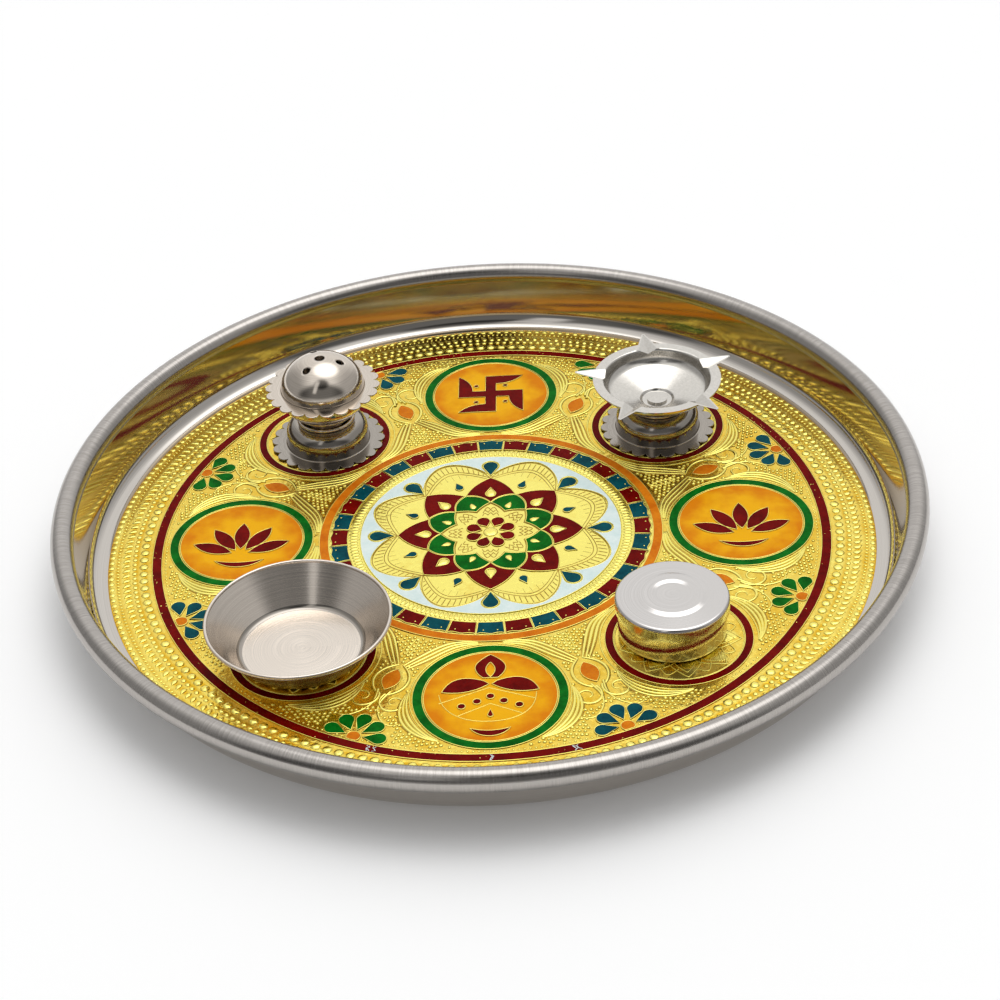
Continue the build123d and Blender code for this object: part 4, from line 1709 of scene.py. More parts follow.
@dataclass
class GoldFoil(Piece):
    """Embossed foil disc with its border rows, stipple and scrolls."""

    radius: float = 135.5
    medallion: float = MEDALLION_RADIUS
    circle: float = ROUNDEL_CIRCLE
    border_inner: float = BORDER_RING[0]
    border_outer: float = BORDER_RING[1]
    ring_outer: float = 25.5
    rosette: float = 20.2
    rosette_petals: int = 9
    daisy_circle: float = 114.4
    sectors: int = 8
    bands: Pair = (46.9, 50.4)
    around: int = 600
    rings: int = 134
    wave_rise: float = 0.022
    band_rise: float = 0.16
    row_rise: float = 0.05
    seat_rise: float = 0.14
    fan_deg: Pair = (14.0, 74.0)
    wing_root: float = 77.4
    curl: Pair = (95.5, 5.5)
    dot_pitch: float = 1.72
    dot_shift: float = 0.16

    def relief(self, radius: np.ndarray, angle: np.ndarray) -> np.ndarray:
        """Height of the foil's broad relief.

        Args:
            radius: Distance from the axis.
            angle: Angle about the axis.

        Returns:
            Height above the foil's top.
        """
        x, y = radius * np.cos(angle), radius * np.sin(angle)
        wave = 0.5 * np.sin(x / 3.1 + 1.3 * np.sin(y / 5.3))
        wave = wave + 0.5 * np.sin(y / 2.7 + 1.7 * np.sin(x / 4.1))
        height = self.wave_rise * wave
        band = np.clip((radius - self.bands[0]) / 0.8, 0, 1)
        band = band * np.clip((self.bands[1] - radius) / 0.8, 0, 1)
        height = height + self.band_rise * band
        rows = np.clip((radius - self.border_outer - 0.6) / 1.0, 0, 1)
        height = height + self.row_rise * rows * np.sin((radius - self.border_outer) * 2 * math.pi / 3.2)
        pitch = self.circle / math.sqrt(2)
        for sx in (-1, 1):
            for sy in (-1, 1):
                dx, dy = x - sx * pitch, y - sy * pitch
                local = np.hypot(dx, dy)
                turn = np.cos(self.rosette_petals * np.arctan2(dy, dx))
                edge = self.rosette * (0.78 + 0.20 * turn)
                height = height + self.seat_rise * np.clip((edge - local) / 1.5, 0, 1)
        return height

    def base(self) -> bpy.types.Object:
        """Make the disc with its broad relief.

        Returns:
            The piece.
        """
        levels = self.studio.levels
        around, rings = self.around, self.rings
        angles = np.linspace(0.0, 2 * math.pi, around, endpoint=False)
        radii = np.linspace(0.0, self.radius - 0.2, rings + 1)[1:]
        grid_r, grid_a = np.meshgrid(radii, angles, indexing="ij")
        height = levels.foil_top + self.relief(grid_r, grid_a)
        top = np.column_stack(
            [(grid_r * np.cos(grid_a)).ravel(), (grid_r * np.sin(grid_a)).ravel(), height.ravel()]
        )
        ring = np.column_stack([np.cos(angles), np.sin(angles)]) * self.radius
        edge_top = np.column_stack([ring, np.full(around, levels.foil_top - 0.1)])
        edge_low = np.column_stack([ring, np.full(around, levels.foil_bottom + 0.02)])
        centres = [[0.0, 0.0, levels.foil_top], [0.0, 0.0, levels.foil_bottom + 0.02]]
        points = np.concatenate([top, edge_top, edge_low, centres])
        rows = rings + 2
        faces: list[tuple[int, ...]] = []
        for k in range(around):
            n = (k + 1) % around
            faces.append((rows * around, k, n))
            for row in range(rows - 1):
                a, b = row * around, (row + 1) * around
                faces.append((a + k, b + k, b + n, a + n))
            last = (rows - 1) * around
            faces.append((last + k, rows * around + 1, last + n))
        made = mesh_object("foil_disc", points, faces, [self.studio.finishes.gold["ground"]])
        return self.studio.keep(made, Body.THALI, Slot.GOLD, "gold_foil")

    def border(self) -> list[bpy.types.Object]:
        """Make the bead rows of the border.

        Returns:
            The pieces.
        """
        row, level = self.studio.row, self.studio.levels.foil_top
        return [
            row("row_dots", oval(0.9, 0.9, 8), 0.22, 400, self.border_inner - 1.4, level, 3, rings=2),
            row("row_pearls", oval(3.3, 3.3, 12), 0.5, 188, 123.0, level, 4),
            row("row_seeds", oval(1.9, 1.9, 10), 0.36, 296, 126.2, level, 5),
            row("row_commas", hook(3.6, 1.9), 0.36, 280, 129.2, level, 6, turn_deg=28.0),
            row("row_ticks", oval(1.5, 0.8, 8), 0.2, 470, 132.1, level, 7, turn_deg=-20.0, rings=2),
            row("row_beads", oval(2.1, 2.4, 10), 0.36, 272, 134.2, level, 8),
        ]

    def ring_point(self, turn_deg: float, offset: float) -> Pair:
        """Point beside a roundel's or seat's ring, in a sector's own axes.

        Args:
            turn_deg: Angle along the ring from the nearest point to the sector's axis.
            offset: Distance outside the ring.

        Returns:
            The point.
        """
        reach = self.ring_outer + 0.2 + offset
        half = math.pi / self.sectors
        middle = (self.circle * math.cos(half), self.circle * math.sin(half))
        turn = math.radians(turn_deg)
        return (middle[0] + reach * math.sin(turn), middle[1] - reach * math.cos(turn))

    def blade(self, start_deg: float, end_deg: float, swell: Callable[[float], float]) -> np.ndarray:
        """Line beside a ring that swells away from it.

        Args:
            start_deg: First angle along the ring.
            end_deg: Last angle along the ring.
            swell: Distance from the ring against the share of the way.

        Returns:
            The points.
        """
        shares = np.linspace(0.0, 1.0, 36)
        return np.array(
            [self.ring_point(start_deg + (end_deg - start_deg) * s, swell(s)) for s in shares]
        )

    def outer_blade(self, share: float) -> np.ndarray:
        """One leaf of the fan between a ring and the border.

        Args:
            share: Distance from the ring as a share of the fan.

        Returns:
            The points.
        """
        return self.blade(*self.fan_deg, lambda s: 1.0 + share * 4.0 * math.sin(math.pi * s))

    def wing(self, share: float) -> np.ndarray:
        """One feather of the wing from a bud's inner end along a ring to the medallion.

        Args:
            share: Distance from the ring as a share of the wing.

        Returns:
            The points.
        """
        spots = [(self.wing_root + 1.5 * (1.0 - share), 0.9 + 2.6 * (1.0 - share))]
        for turn, offset in ((-25.0, 4.4), (-42.0, 3.6), (-59.0, 1.2)):
            spots.append(self.ring_point(turn, 1.0 + offset * share))
        return spline(spots)

    def mirrored(self, lines: Iterable[tuple[np.ndarray, Taper]]) -> Strokes:
        """Strokes of a sector from the lines of one half.

        Args:
            lines: Lines, each with its taper.

        Returns:
            The strokes of both halves.
        """
        made = Strokes()
        for line, taper in lines:
            for side in (1.0, -1.0):
                made.add(line * np.array([1.0, side]), self.studio.levels.foil_top, taper)
        return made

    def shadow_creases(self) -> Strokes:
        """Painted shadow lines between the leaves of one sector's scroll, both halves.

        Returns:
            The strokes.
        """
        shares = (1.2, 0.82, 0.46, 0.12)
        lines = [line for share in shares for line in (self.outer_blade(share), self.wing(share))]
        return self.mirrored((line, Taper.ENDS) for line in lines)

    def scroll_leaves(self) -> Strokes:
        """Broad raised leaves of one sector's scroll, both halves.

        Returns:
            The strokes.
        """
        halves: list[tuple[np.ndarray, Taper]] = []
        angles = np.radians(np.linspace(235.0, 235.0 + 470.0, 60))
        reach = np.linspace(5.3, 1.0, 60)
        x, y = self.curl
        spiral = np.column_stack([x + reach * np.cos(angles), y + reach * np.sin(angles)])
        halves.append((spiral, Taper.TAIL))
        for share in (1.0, 0.64, 0.28):
            halves += [(self.outer_blade(share), Taper.ENDS), (self.wing(share), Taper.ENDS)]
        for points, taper in (
            (((91.0, 2.2), (97.0, 1.2), (103.0, 3.6), (106.0, 8.5), (104.0, 12.0)), Taper.TAIL),
            (((77.2, 0.7), (80.8, 4.4), (85.6, 5.9), (90.4, 4.2), (93.4, 0.8)), Taper.ENDS),
        ):
            halves.append((spline(points), taper))
        return self.mirrored(halves)

    def scroll_lines(self) -> Strokes:
        """Fine raised lines of one sector's scroll, both halves.

        Returns:
            The strokes.
        """
        ring = self.blade(-62.0, self.fan_deg[1], lambda s: 0.7)
        vein = spline([(62.5, 0.4), (67.5, 1.0), (72.5, 0.4)])
        return self.mirrored((line, Taper.EVEN) for line in (ring, vein))

    def is_stipple(self, x: float, y: float) -> bool:
        """Whether a stipple dot belongs at a place of the first sector.

        Args:
            x: Distance along the sector's axis.
            y: Distance across it.

        Returns:
            True where the ground is stippled.
        """
        across = abs(y)
        reach = math.hypot(x, y)
        if not self.medallion + 1.4 < reach < self.border_inner - 2.6:
            return False
        half = math.pi / self.sectors
        dx, dy = x - self.circle * math.cos(half), across - self.circle * math.sin(half)
        from_ring = math.hypot(dx, dy) - self.ring_outer
        if from_ring < 1.5:
            return False
        turn = math.degrees(math.atan2(dx, -dy))
        wing = np.interp(x, (58.4, 61.8, 68.9, self.wing_root), (20.3, 11.5, 5.8, 0.9))
        if x < self.wing_root and across > wing - 1.3:
            return False
        first, last = self.fan_deg
        fan = math.sin(math.pi * (turn - first) / (last - first))
        if first < turn < last and from_ring < 1.8 + 4.3 * fan:
            return False
        in_bud = math.hypot((x - 85.4) / 8.6, across / 6.6) < 1.0
        if in_bud or math.hypot(x - self.curl[0], across - self.curl[1]) < 6.2:
            return False
        return math.hypot(x - self.daisy_circle, across) > 12.6

    def stipple(self) -> bpy.types.Object:
        """Make the dots of the ground.

        Returns:
            The piece.
        """
        pitch = self.dot_pitch
        half = math.pi / self.sectors
        generator = np.random.default_rng(11)
        spots: list[tuple[float, float, float]] = []
        for row in range(-32, 33):
            for column in range(30, 70):
                x = pitch * (column + (row % 2) / 2)
                y = row * pitch * math.sqrt(3) / 2
                if abs(math.atan2(y, x)) <= half and self.is_stipple(x, y):
                    shift = generator.uniform(-self.dot_shift, self.dot_shift, 2)
                    spots.append((x + shift[0], y + shift[1], self.studio.levels.foil_top))
        foil = self.studio.finishes.gold["foil"]
        return self.studio.dots("stipple_dots", spots, 0.72, 0.42, 0.16, 12, foil, self.sectors, half)

    def rosettes(self) -> bpy.types.Object:
        """Make the raised lines of the four seats.

        Returns:
            The piece.
        """
        level = self.studio.levels.foil_top + 0.05
        strokes = Strokes()
        seat = (self.circle, 0.0)
        for petal in range(self.rosette_petals):
            angle = 360.0 * petal / self.rosette_petals
            for foot, tip, width in ((3.0, 20.6, 5.4), (6.0, 18.2, 3.5)):
                strokes.add(turned(leaf_outline(foot, tip, width), angle, seat), level, closed=True)
            between = angle + 180.0 / self.rosette_petals
            strokes.add(turned(spline([(16.0, -3.0), (19.6, 0.0), (16.0, 3.0)]), between, seat), level)
        strokes.circle(21.5, level, seat)
        return self.studio.sweep("seat_rosettes", strokes, 0.5, 0.2, copies=4, start_deg=45.0)

    def build(self) -> list[bpy.types.Object]:
        """Make the whole foil.

        Returns:
            The pieces.
        """
        made = [self.base(), *self.border()]
        gold, turn = self.studio.finishes.gold, 180.0 / self.sectors
        for name, strokes, width, height, material in (
            ("scroll_leaves", self.scroll_leaves(), 1.45, 0.46, gold["wire"]),
            ("scroll_lines", self.scroll_lines(), 0.6, 0.28, gold["wire"]),
            # The crease lines use the dark gold of painted shadow.
            ("scroll_creases", self.shadow_creases(), 0.4, 0.12, gold["shadow_lines"]),
        ):
            piece = self.studio.sweep(name, strokes, width, height, self.sectors, turn, material=material)
            made.append(piece)
        return [*made, self.stipple(), self.rosettes()]


@dataclass
class Medallion(Piece):
    """Raised lines and pillows of the middle medallion."""

    radius: float = MEDALLION_RADIUS
    petals: int = 8
    tiles: int = 36
    hatch_outer: int = 15
    hatch_inner: int = 9
    milled: int = 180

    def star(
        self, tip: float, shoulder: float, meet: float, turn_share: float, blunt: bool
    ) -> np.ndarray:
        """One petal of a ring of petals, along X.

        Args:
            tip: Radius of the tip.
            shoulder: Radius of the shoulders.
            meet: Radius where it meets its neighbours.
            turn_share: Place of the shoulders as a share of the half step.
            blunt: Whether the tip is round.

        Returns:
            The open line from one meeting point to the other.
        """
        half = math.pi / self.petals
        spots = [
            (meet * math.cos(half), -meet * math.sin(half)),
            (shoulder * math.cos(half * turn_share), -shoulder * math.sin(half * turn_share)),
            (tip, 0.0),
            (shoulder * math.cos(half * turn_share), shoulder * math.sin(half * turn_share)),
            (meet * math.cos(half), meet * math.sin(half)),
        ]
        if blunt:
            return spline(spots)
        return np.concatenate([spline(spots[:3]), spline(spots[2:])[1:]])

    def reach(self, line: np.ndarray, angle: float) -> float:
        """Radius of a petal line at an angle.

        Args:
            line: The line.
            angle: Angle, in radians.

        Returns:
            The radius.
        """
        angles = np.arctan2(line[:, 1], line[:, 0])
        return float(np.interp(angle, angles, np.hypot(line[:, 0], line[:, 1])))

    @staticmethod
    def ray(angle: float, low: float, high: float) -> list[Pair]:
        """Straight line outward from the axis.

        Args:
            angle: Its angle, in radians.
            low: Radius of its inner end.
            high: Radius of its outer end.

        Returns:
            Both ends.
        """
        return [(r * math.cos(angle), r * math.sin(angle)) for r in (low, high)]

    def hatched(self, level: float) -> Strokes:
        """Lines of one hatched petal.

        Args:
            level: Height of the lines.

        Returns:
            The strokes.
        """
        made = Strokes()
        size = self.radius
        outer = self.star(0.738 * size, 0.662 * size, 0.554 * size, 0.60, True)
        inner = self.star(0.655 * size, 0.600 * size, 0.545 * size, 0.56, True)
        half = math.pi / self.petals
        made.add(outer * 0.985, level)
        made.add(inner, level)
        made.add(inner * 0.965, level, Taper.ENDS)
        for k in range(self.hatch_outer):
            angle = half * 0.86 * (2 * (k + 0.5) / self.hatch_outer - 1)
            low, high = self.reach(inner, angle) + 0.5, self.reach(outer, angle) - 1.3
            if high > low + 0.6:
                made.add(self.ray(angle, low, high), level)
        for k in range(self.hatch_inner):
            angle = half * 0.80 * (2 * (k + 0.5) / self.hatch_inner - 1)
            low, high = 0.555 * size + 1.2, self.reach(inner, angle) * 0.965 - 0.5
            if high > low + 0.8:
                made.add(self.ray(angle, low, high), level, Taper.ENDS)
        return made

    def scales(self, level: float) -> Strokes:
        """Lines of one plain gold petal with its scales.

        Args:
            level: Height of the lines.

        Returns:
            The strokes.
        """
        made = Strokes()
        size = self.radius
        made.add(self.star(0.284 * size, 0.236 * size, 0.210 * size, 0.64, False), level)
        for radius, spread in ((10.9, 16.0), (12.6, 13.0), (14.2, 9.0)):
            count = 3 if radius < 13 else 2
            for k in range(count):
                middle = spread * (2 * (k + 0.5) / count - 1)
                turns = np.radians([middle - spread / count, middle, middle + spread / count])
                reach = np.array([radius - 0.6, radius + 0.7, radius - 0.6])
                arch = np.column_stack([reach * np.cos(turns), reach * np.sin(turns)])
                made.add(spline(arch, 0.3), level)
        return made

    def button(self) -> bpy.types.Object:
        """Make the button in the middle.

        Returns:
            The piece.
        """
        made = pillow("middle_button", oval(5.3, 5.3, 28), 0.6, rings=5)
        made.data.transform(Matrix.Translation((0.0, 0.0, self.studio.levels.foil_top * MM)))
        made.data.materials.append(self.studio.finishes.gold["foil"])
        return self.studio.keep(made, Body.THALI, Slot.GOLD)

    def build(self) -> list[bpy.types.Object]:
        """Make the medallion's raised parts.

        Returns:
            The pieces.
        """
        row, level, top = self.studio.row, self.studio.levels.foil_top, self.studio.levels.enamel_top
        half_step = 180.0 / self.petals
        mill, drop, small = oval(3.3, 1.45, 8), teardrop(5.6, 3.7), teardrop(4.3, 2.7)
        made = [
            row("milled_band", mill, 0.2, self.milled, 48.7, level + 0.12, 21, jitter=0.03, rings=2),
            row("maroon_petal_drops", drop, 0.55, self.petals, 24.05, level, 22, jitter=0.02),
            row("green_petal_drops", small, 0.52, self.petals, 17.1, level, 23, half_step),
            self.button(),
        ]
        dot = oval(0.6, 0.6, 8)
        for index, side in enumerate((-2.5, 2.5)):
            name = f"tile_dots_{index + 1}"
            made.append(row(name, dot, 0.1, self.tiles, 55.2, top, 25 + index, side, rings=2))
        # The hatching and scale lines use the dark gold of painted shadow, drawn where the relief falls
        # in shade.
        shadow_lines = self.studio.finishes.gold["shadow_lines"]
        for name, strokes, turn in (
            ("hatched_petals", self.hatched(level + 0.02), half_step),
            ("scale_petals", self.scales(level + 0.02), 0.0),
        ):
            made.append(self.studio.sweep(name, strokes, 0.3, 0.1, self.petals, turn, material=shadow_lines))
        return made


@dataclass
class EnamelInlay(Piece):
    """Enamel fills of the frame with the gold lines round them."""

    width: float = 0.38
    fills: dict[Slot, tuple[str, ...]] = field(
        default_factory=lambda: {
            Slot.MAROON: (
                "border_ring",
                "seat_rings",
                "swastika_motif",
                "kalash_motif",
                "lotus_motifs",
                "maroon_tiles",
                "maroon_petals",
                "centre_flower",
            ),
            Slot.GREEN: ("roundel_rings", "green_petals", "green_flowers"),
            Slot.BLUE: ("blue_tiles", "blue_drops", "blue_flowers"),
            Slot.ORANGE: ("orange_ring", "flower_centres", "leaf_buds"),
            Slot.AMBER: ("roundel_grounds",),
            Slot.PALE: ("pale_ground",),
        }
    )
    motifs: tuple[str, ...] = ("swastika_motif", "kalash_motif", "lotus_motifs")
    ring: Pair = BORDER_RING
    chips_deg: tuple[float, ...] = (251.5, 270.6, 283.5)
    specks: int = 90
    pot_lines: tuple[tuple[Pair, ...], ...] = (
        (
            (-16.8, 1.1),
            (-15.5, -3.9),
            (-10.5, -9.8),
            (0.0, -12.5),
            (10.5, -9.3),
            (14.1, -4.3),
            (15.0, 1.1),
        ),
        ((-16.8, -3.2), (-0.5, 3.9), (14.5, -2.0)),
        ((-10.5, -9.5), (0.0, -3.9), (10.2, -9.1)),
    )

    def colour(self) -> None:
        """Give the frame's fills their enamel."""
        for slot, nodes in self.fills.items():
            for node in nodes:
                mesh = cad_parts[node].data
                mesh.materials.clear()
                mesh.materials.append(self.studio.finishes.enamel[slot])
                log.info("%s: enamel %s", node, slot.value)

    def lines(self) -> list[bpy.types.Object]:
        """Make the gold lines along the outlines of the fills.

        Returns:
            The pieces.
        """
        levels = self.studio.levels
        fills = Strokes()
        motifs = Strokes()
        for nodes in self.fills.values():
            for node in nodes:
                for loop in outline_loops(node):
                    if node in self.motifs:
                        motifs.add(loop, levels.motif_top - 0.05, closed=True)
                    else:
                        fills.add(loop, levels.enamel_top - 0.05, closed=True)
        for index, points in enumerate(self.pot_lines):
            path = [(x, y - ROUNDEL_CIRCLE) for x, y in points]
            motifs.add(spline(path) if index == 0 else path, levels.enamel_top + 0.02)
        return [
            self.studio.sweep("enamel_lines", fills, self.width, 0.11),
            self.studio.sweep("motif_lines", motifs, 0.34, 0.09),
        ]

    def wear(self) -> list[bpy.types.Object]:
        """Make the chips and specks of the worn border ring.

        Returns:
            The pieces.
        """
        generator = np.random.default_rng(21)
        level = self.studio.levels.enamel_top - 0.03
        chips = Strokes()
        for angle in self.chips_deg:
            for _ in range(3):
                radii = np.linspace(self.ring[0] + 0.1, self.ring[1] - 0.1, 7)
                turns = angle + generator.uniform(-0.35, 0.35, 7) + generator.uniform(-0.8, 0.8)
                turns = np.radians(turns)
                path = np.column_stack([radii * np.cos(turns), radii * np.sin(turns)])
                chips.add(path, level, Taper.ENDS)
        spots: list[tuple[float, float, float]] = []
        for _ in range(self.specks):
            middle = generator.choice((20.0, 100.0, 190.0, 268.0))
            turn = math.radians(middle + generator.normal(0.0, 24.0))
            radius = generator.uniform(self.ring[0] + 0.3, self.ring[1] - 0.3)
            spots.append((radius * math.cos(turn), radius * math.sin(turn), level))
        pale, wire = self.studio.finishes.enamel[Slot.PALE], self.studio.finishes.gold["wire"]
        return [
            self.studio.sweep("ring_chips", chips, 0.4, 0.06, material=pale, slot=Slot.PALE),
            self.studio.dots("ring_specks", spots, 0.2, 0.06, 0.5, 22, wire),
        ]

    def build(self) -> list[bpy.types.Object]:
        """Colour the fills and make their lines.

        Returns:
            The pieces.
        """
        self.colour()
        return self.lines() + self.wear()


@dataclass
class Pedestal:
    """Pedestal stamping with a scalloped flange, shared by two vessels."""

    sheet: float = 0.6
    height: float = 10.0
    shoulder: float = 15.1
    bulb: float = 15.6
    shoulder_bend: float = 4.8
    flange: float = 18.9
    lobes: int = 22
    lobe_radius: float = 2.7
    lobe_circle: float = 18.6
    foot_bend: float = 0.5
    bore: float = 2.55

    def lathe(self, axis: Pair, level: float, turned_over: bool) -> Lathe:
        """Turned outline with lobes at its edge.

        Args:
            axis: Place of the axis.
            level: Height of its lowest plane.
            turned_over: Whether the flange is on top.

        Returns:
            The lathe.
        """
        path = [
            (self.bore, self.height),
            (self.shoulder, self.height),
            (self.bulb, self.sheet),
            (self.flange, self.sheet),
        ]
        outline = sheet_profile(
            path,
            [0.0, self.shoulder_bend, self.foot_bend, 0.0],
            self.sheet,
            self.height if turned_over else None,
            edge=0.3,
        )
        outline = [p for k, p in enumerate(outline) if math.dist(p, outline[k - 1]) > 1e-5]
        swell = [1.0 if r > self.flange - 0.4 else 0.0 for r, _ in outline]
        pitch = 2 * math.pi / self.lobes

        def lobe(angles: np.ndarray) -> np.ndarray:
            """Reach of the lobes beyond the flange."""
            turn = (angles + pitch / 2) % pitch - pitch / 2
            reach = self.lobe_circle * np.cos(turn) + np.sqrt(
                np.maximum(self.lobe_radius**2 - (self.lobe_circle * np.sin(turn)) ** 2, 0.0)
            )
            return reach - self.flange

        return Lathe(outline, axis, level, self.lobes * 12, swell, lobe)


@dataclass
class IncenseHolder(Piece):
    """Incense holder: pedestal, neck, dish and pierced dome."""

    axis: Pair = (-61.28, 62.08)
    level: float = Levels.seat_top
    neck_height: float = 4.4
    waist: float = 7.6
    collar: float = 10.9
    collar_bead: float = 0.8
    dome_radius: float = 15.5
    dome_height: float = 12.2
    centre_hole: float = 1.9
    hole: float = 1.5
    hole_circle: float = 7.5
    hole_start_deg: float = -8.0
    pedestal: Pedestal = field(default_factory=Pedestal)

    def neck_outline(self) -> list[Pair]:
        """Outline of the neck with a bead at each end.

        Returns:
            Points of radius and height.
        """
        bead, seat = self.collar_bead, self.collar - self.collar_bead
        low = arc_points((seat, bead), bead, -90.0, 90.0, 15.0)
        high = arc_points((seat, self.neck_height - bead), bead, -90.0, 90.0, 15.0)
        return [
            (self.pedestal.bore, 0.0),
            *low,
            (self.waist, 2 * bead),
            (self.waist, self.neck_height - 2 * bead),
            *high,
            (self.pedestal.bore, self.neck_height),
        ]

    def dome(self, level: float) -> bpy.types.Object:
        """Make the dome and pierce it.

        Args:
            level: Height of its foot.

        Returns:
            The piece.
        """
        sheet = self.pedestal.sheet
        angles = np.radians(np.linspace(0.0, 90.0, 22))
        wide, tall = self.dome_radius - sheet, self.dome_height - sheet
        outer = [(self.dome_radius * math.cos(a), self.dome_height * math.sin(a)) for a in angles]
        inner = [(wide * math.cos(a), tall * math.sin(a)) for a in angles[::-1]]
        outer[-1], inner[0] = (0.0, outer[-1][1]), (0.0, inner[0][1])
        steel = [self.studio.finishes.steel["polished"]]
        made = Lathe([*outer, *inner], self.axis, level, 128).build("incense_dome_shell", steel)
        holes = [(0.0, 0.0, self.centre_hole)]
        for k in range(3):
            angle = math.radians(self.hole_start_deg + 120.0 * k)
            x, y = self.hole_circle * math.cos(angle), self.hole_circle * math.sin(angle)
            holes.append((x, y, self.hole))
        low, high = self.dome_height * 0.45, self.dome_height + 2.0
        cutters: list[bpy.types.Object] = []
        for index, (x, y, radius) in enumerate(holes):
            bore = [(0.0, low), (radius, low), (radius, high), (0.0, high)]
            lathe = Lathe(bore, (self.axis[0] + x, self.axis[1] + y), level, 28)
            cutters.append(lathe.build(f"hole_cutter_{index}", steel))
            cut = made.modifiers.new("hole", "BOOLEAN")
            cut.operation, cut.solver, cut.object = "DIFFERENCE", "EXACT", cutters[-1]
        settle(made)
        for cutter in cutters:
            bpy.data.objects.remove(cutter)
        return self.studio.keep(made, Body.INCENSE, Slot.STEEL, "incense_dome")

    def build(self) -> list[bpy.types.Object]:
        """Make the incense holder.

        Returns:
            The pieces.
        """
        crown = self.level + self.pedestal.height
        dish = crown + self.neck_height
        foot = self.pedestal.lathe(self.axis, self.level, False)
        neck = Lathe(self.neck_outline(), self.axis, crown, 128)
        cup = self.pedestal.lathe(self.axis, dish, True)
        made = [
            self.studio.spin(lathe, name, [steel], Body.INCENSE, node)
            for lathe, name, steel, node in (
                # The pedestal takes the darker steel: painted shade under the dish.
                (foot, "incense_pedestal", "dark", "incense_foot"),
                (neck, "incense_collar", "polished", "incense_neck"),
                (cup, "incense_cup", "polished", "incense_dish"),
            )
        ]
        return [*made, self.dome(dish + self.pedestal.height)]


@dataclass
class OilLamp(Piece):
    """Oil lamp: pedestal, collar and a bowl with drawn-out spouts."""

    axis: Pair = (62.78, 61.88)
    level: float = Levels.seat_top
    collar: float = 10.9
    collar_bead: float = 0.8
    collar_height: float = 1.6
    pedestal: Pedestal = field(default_factory=Pedestal)

    def build(self) -> list[bpy.types.Object]:
        """Make the lamp.

        Returns:
            The pieces.
        """
        crown = self.level + self.pedestal.height
        seat = self.collar - self.collar_bead
        collar = [
            (self.pedestal.bore, 0.0),
            *arc_points((seat, self.collar_height / 2), self.collar_height / 2, -90.0, 90.0, 15.0),
            (self.pedestal.bore, self.collar_height),
        ]
        foot = self.pedestal.lathe(self.axis, self.level, False)
        ring = Lathe(collar, self.axis, crown, 128)
        return [
            # The pedestal takes the darker steel: painted shade under the lamp's bowl.
            self.studio.spin(foot, "lamp_pedestal", ["dark"], Body.LAMP, "diya_foot"),
            self.studio.spin(ring, "lamp_collar", ["polished"], Body.LAMP, "diya_collar"),
        ]


@dataclass
class OfferingBowl(Piece):
    """Open bowl with a flared wall and a narrow rolled lip."""

    axis: Pair = (-63.18, -61.18)
    level: float = Levels.seat_top
    rim: float = 31.4
    height: float = 14.0
    floor: float = 19.6
    cove: float = 2.4
    sheet: float = 0.7
    lip: float = 0.6

    def outline(self) -> list[Pair]:
        """Outline of the turned sheet.

        Returns:
            Points of radius and height.
        """
        middle = np.array([self.rim - self.lip, self.height - self.lip])
        run, rise = middle[0] - self.floor, middle[1] - self.sheet - self.cove
        flare = math.acos(self.cove / math.hypot(run, rise)) - math.atan2(rise, run)
        foot = middle[0] - (middle[1] - self.sheet) * math.tan(flare)
        along = unit(middle - np.array([foot, self.sheet]))
        outward = np.array([along[1], -along[0]])
        contact = middle - along * self.lip
        back = middle + outward * self.sheet
        base_x = back[0] - along[0] * back[1] / along[1]
        start = math.degrees(math.atan2(-along[1], -along[0])) % 360
        end = math.degrees(math.atan2(outward[1], outward[0]))
        inside = rounded(
            [(0.0, self.sheet), (foot, self.sheet), (contact[0], contact[1]), (0.0, self.height)],
            [0.0, self.cove, 0.0, 0.0],
            7.0,
        )[:-2]
        lip = arc_points((middle[0], middle[1]), self.lip, start, end, 15.0)
        outside = rounded(
            [(back[0], back[1]), (base_x, 0.0), (0.0, 0.0), (0.0, self.height)],
            [0.0, self.cove + self.sheet, 0.0, 0.0],
            7.0,
        )[:-1]
        floor = [(r, self.sheet) for r in np.linspace(0.0, self.floor - 5.0, 5)]
        return [*floor, *inside[1:], *lip, *outside]

    def build(self) -> list[bpy.types.Object]:
        """Make the bowl.

        Returns:
            The pieces.
        """

        def pick(_: float, height: float) -> int:
            """Darker steel in the cove between floor and wall: painted shade."""
            return 1 if self.sheet + 0.03 < height < self.sheet + self.cove * 0.75 else 0

        lathe = Lathe(self.outline(), self.axis, self.level, 192)
        return [
            self.studio.spin(lathe, "bowl_body", ("satin", "dark"), Body.BOWL, "offering_bowl", pick)
        ]


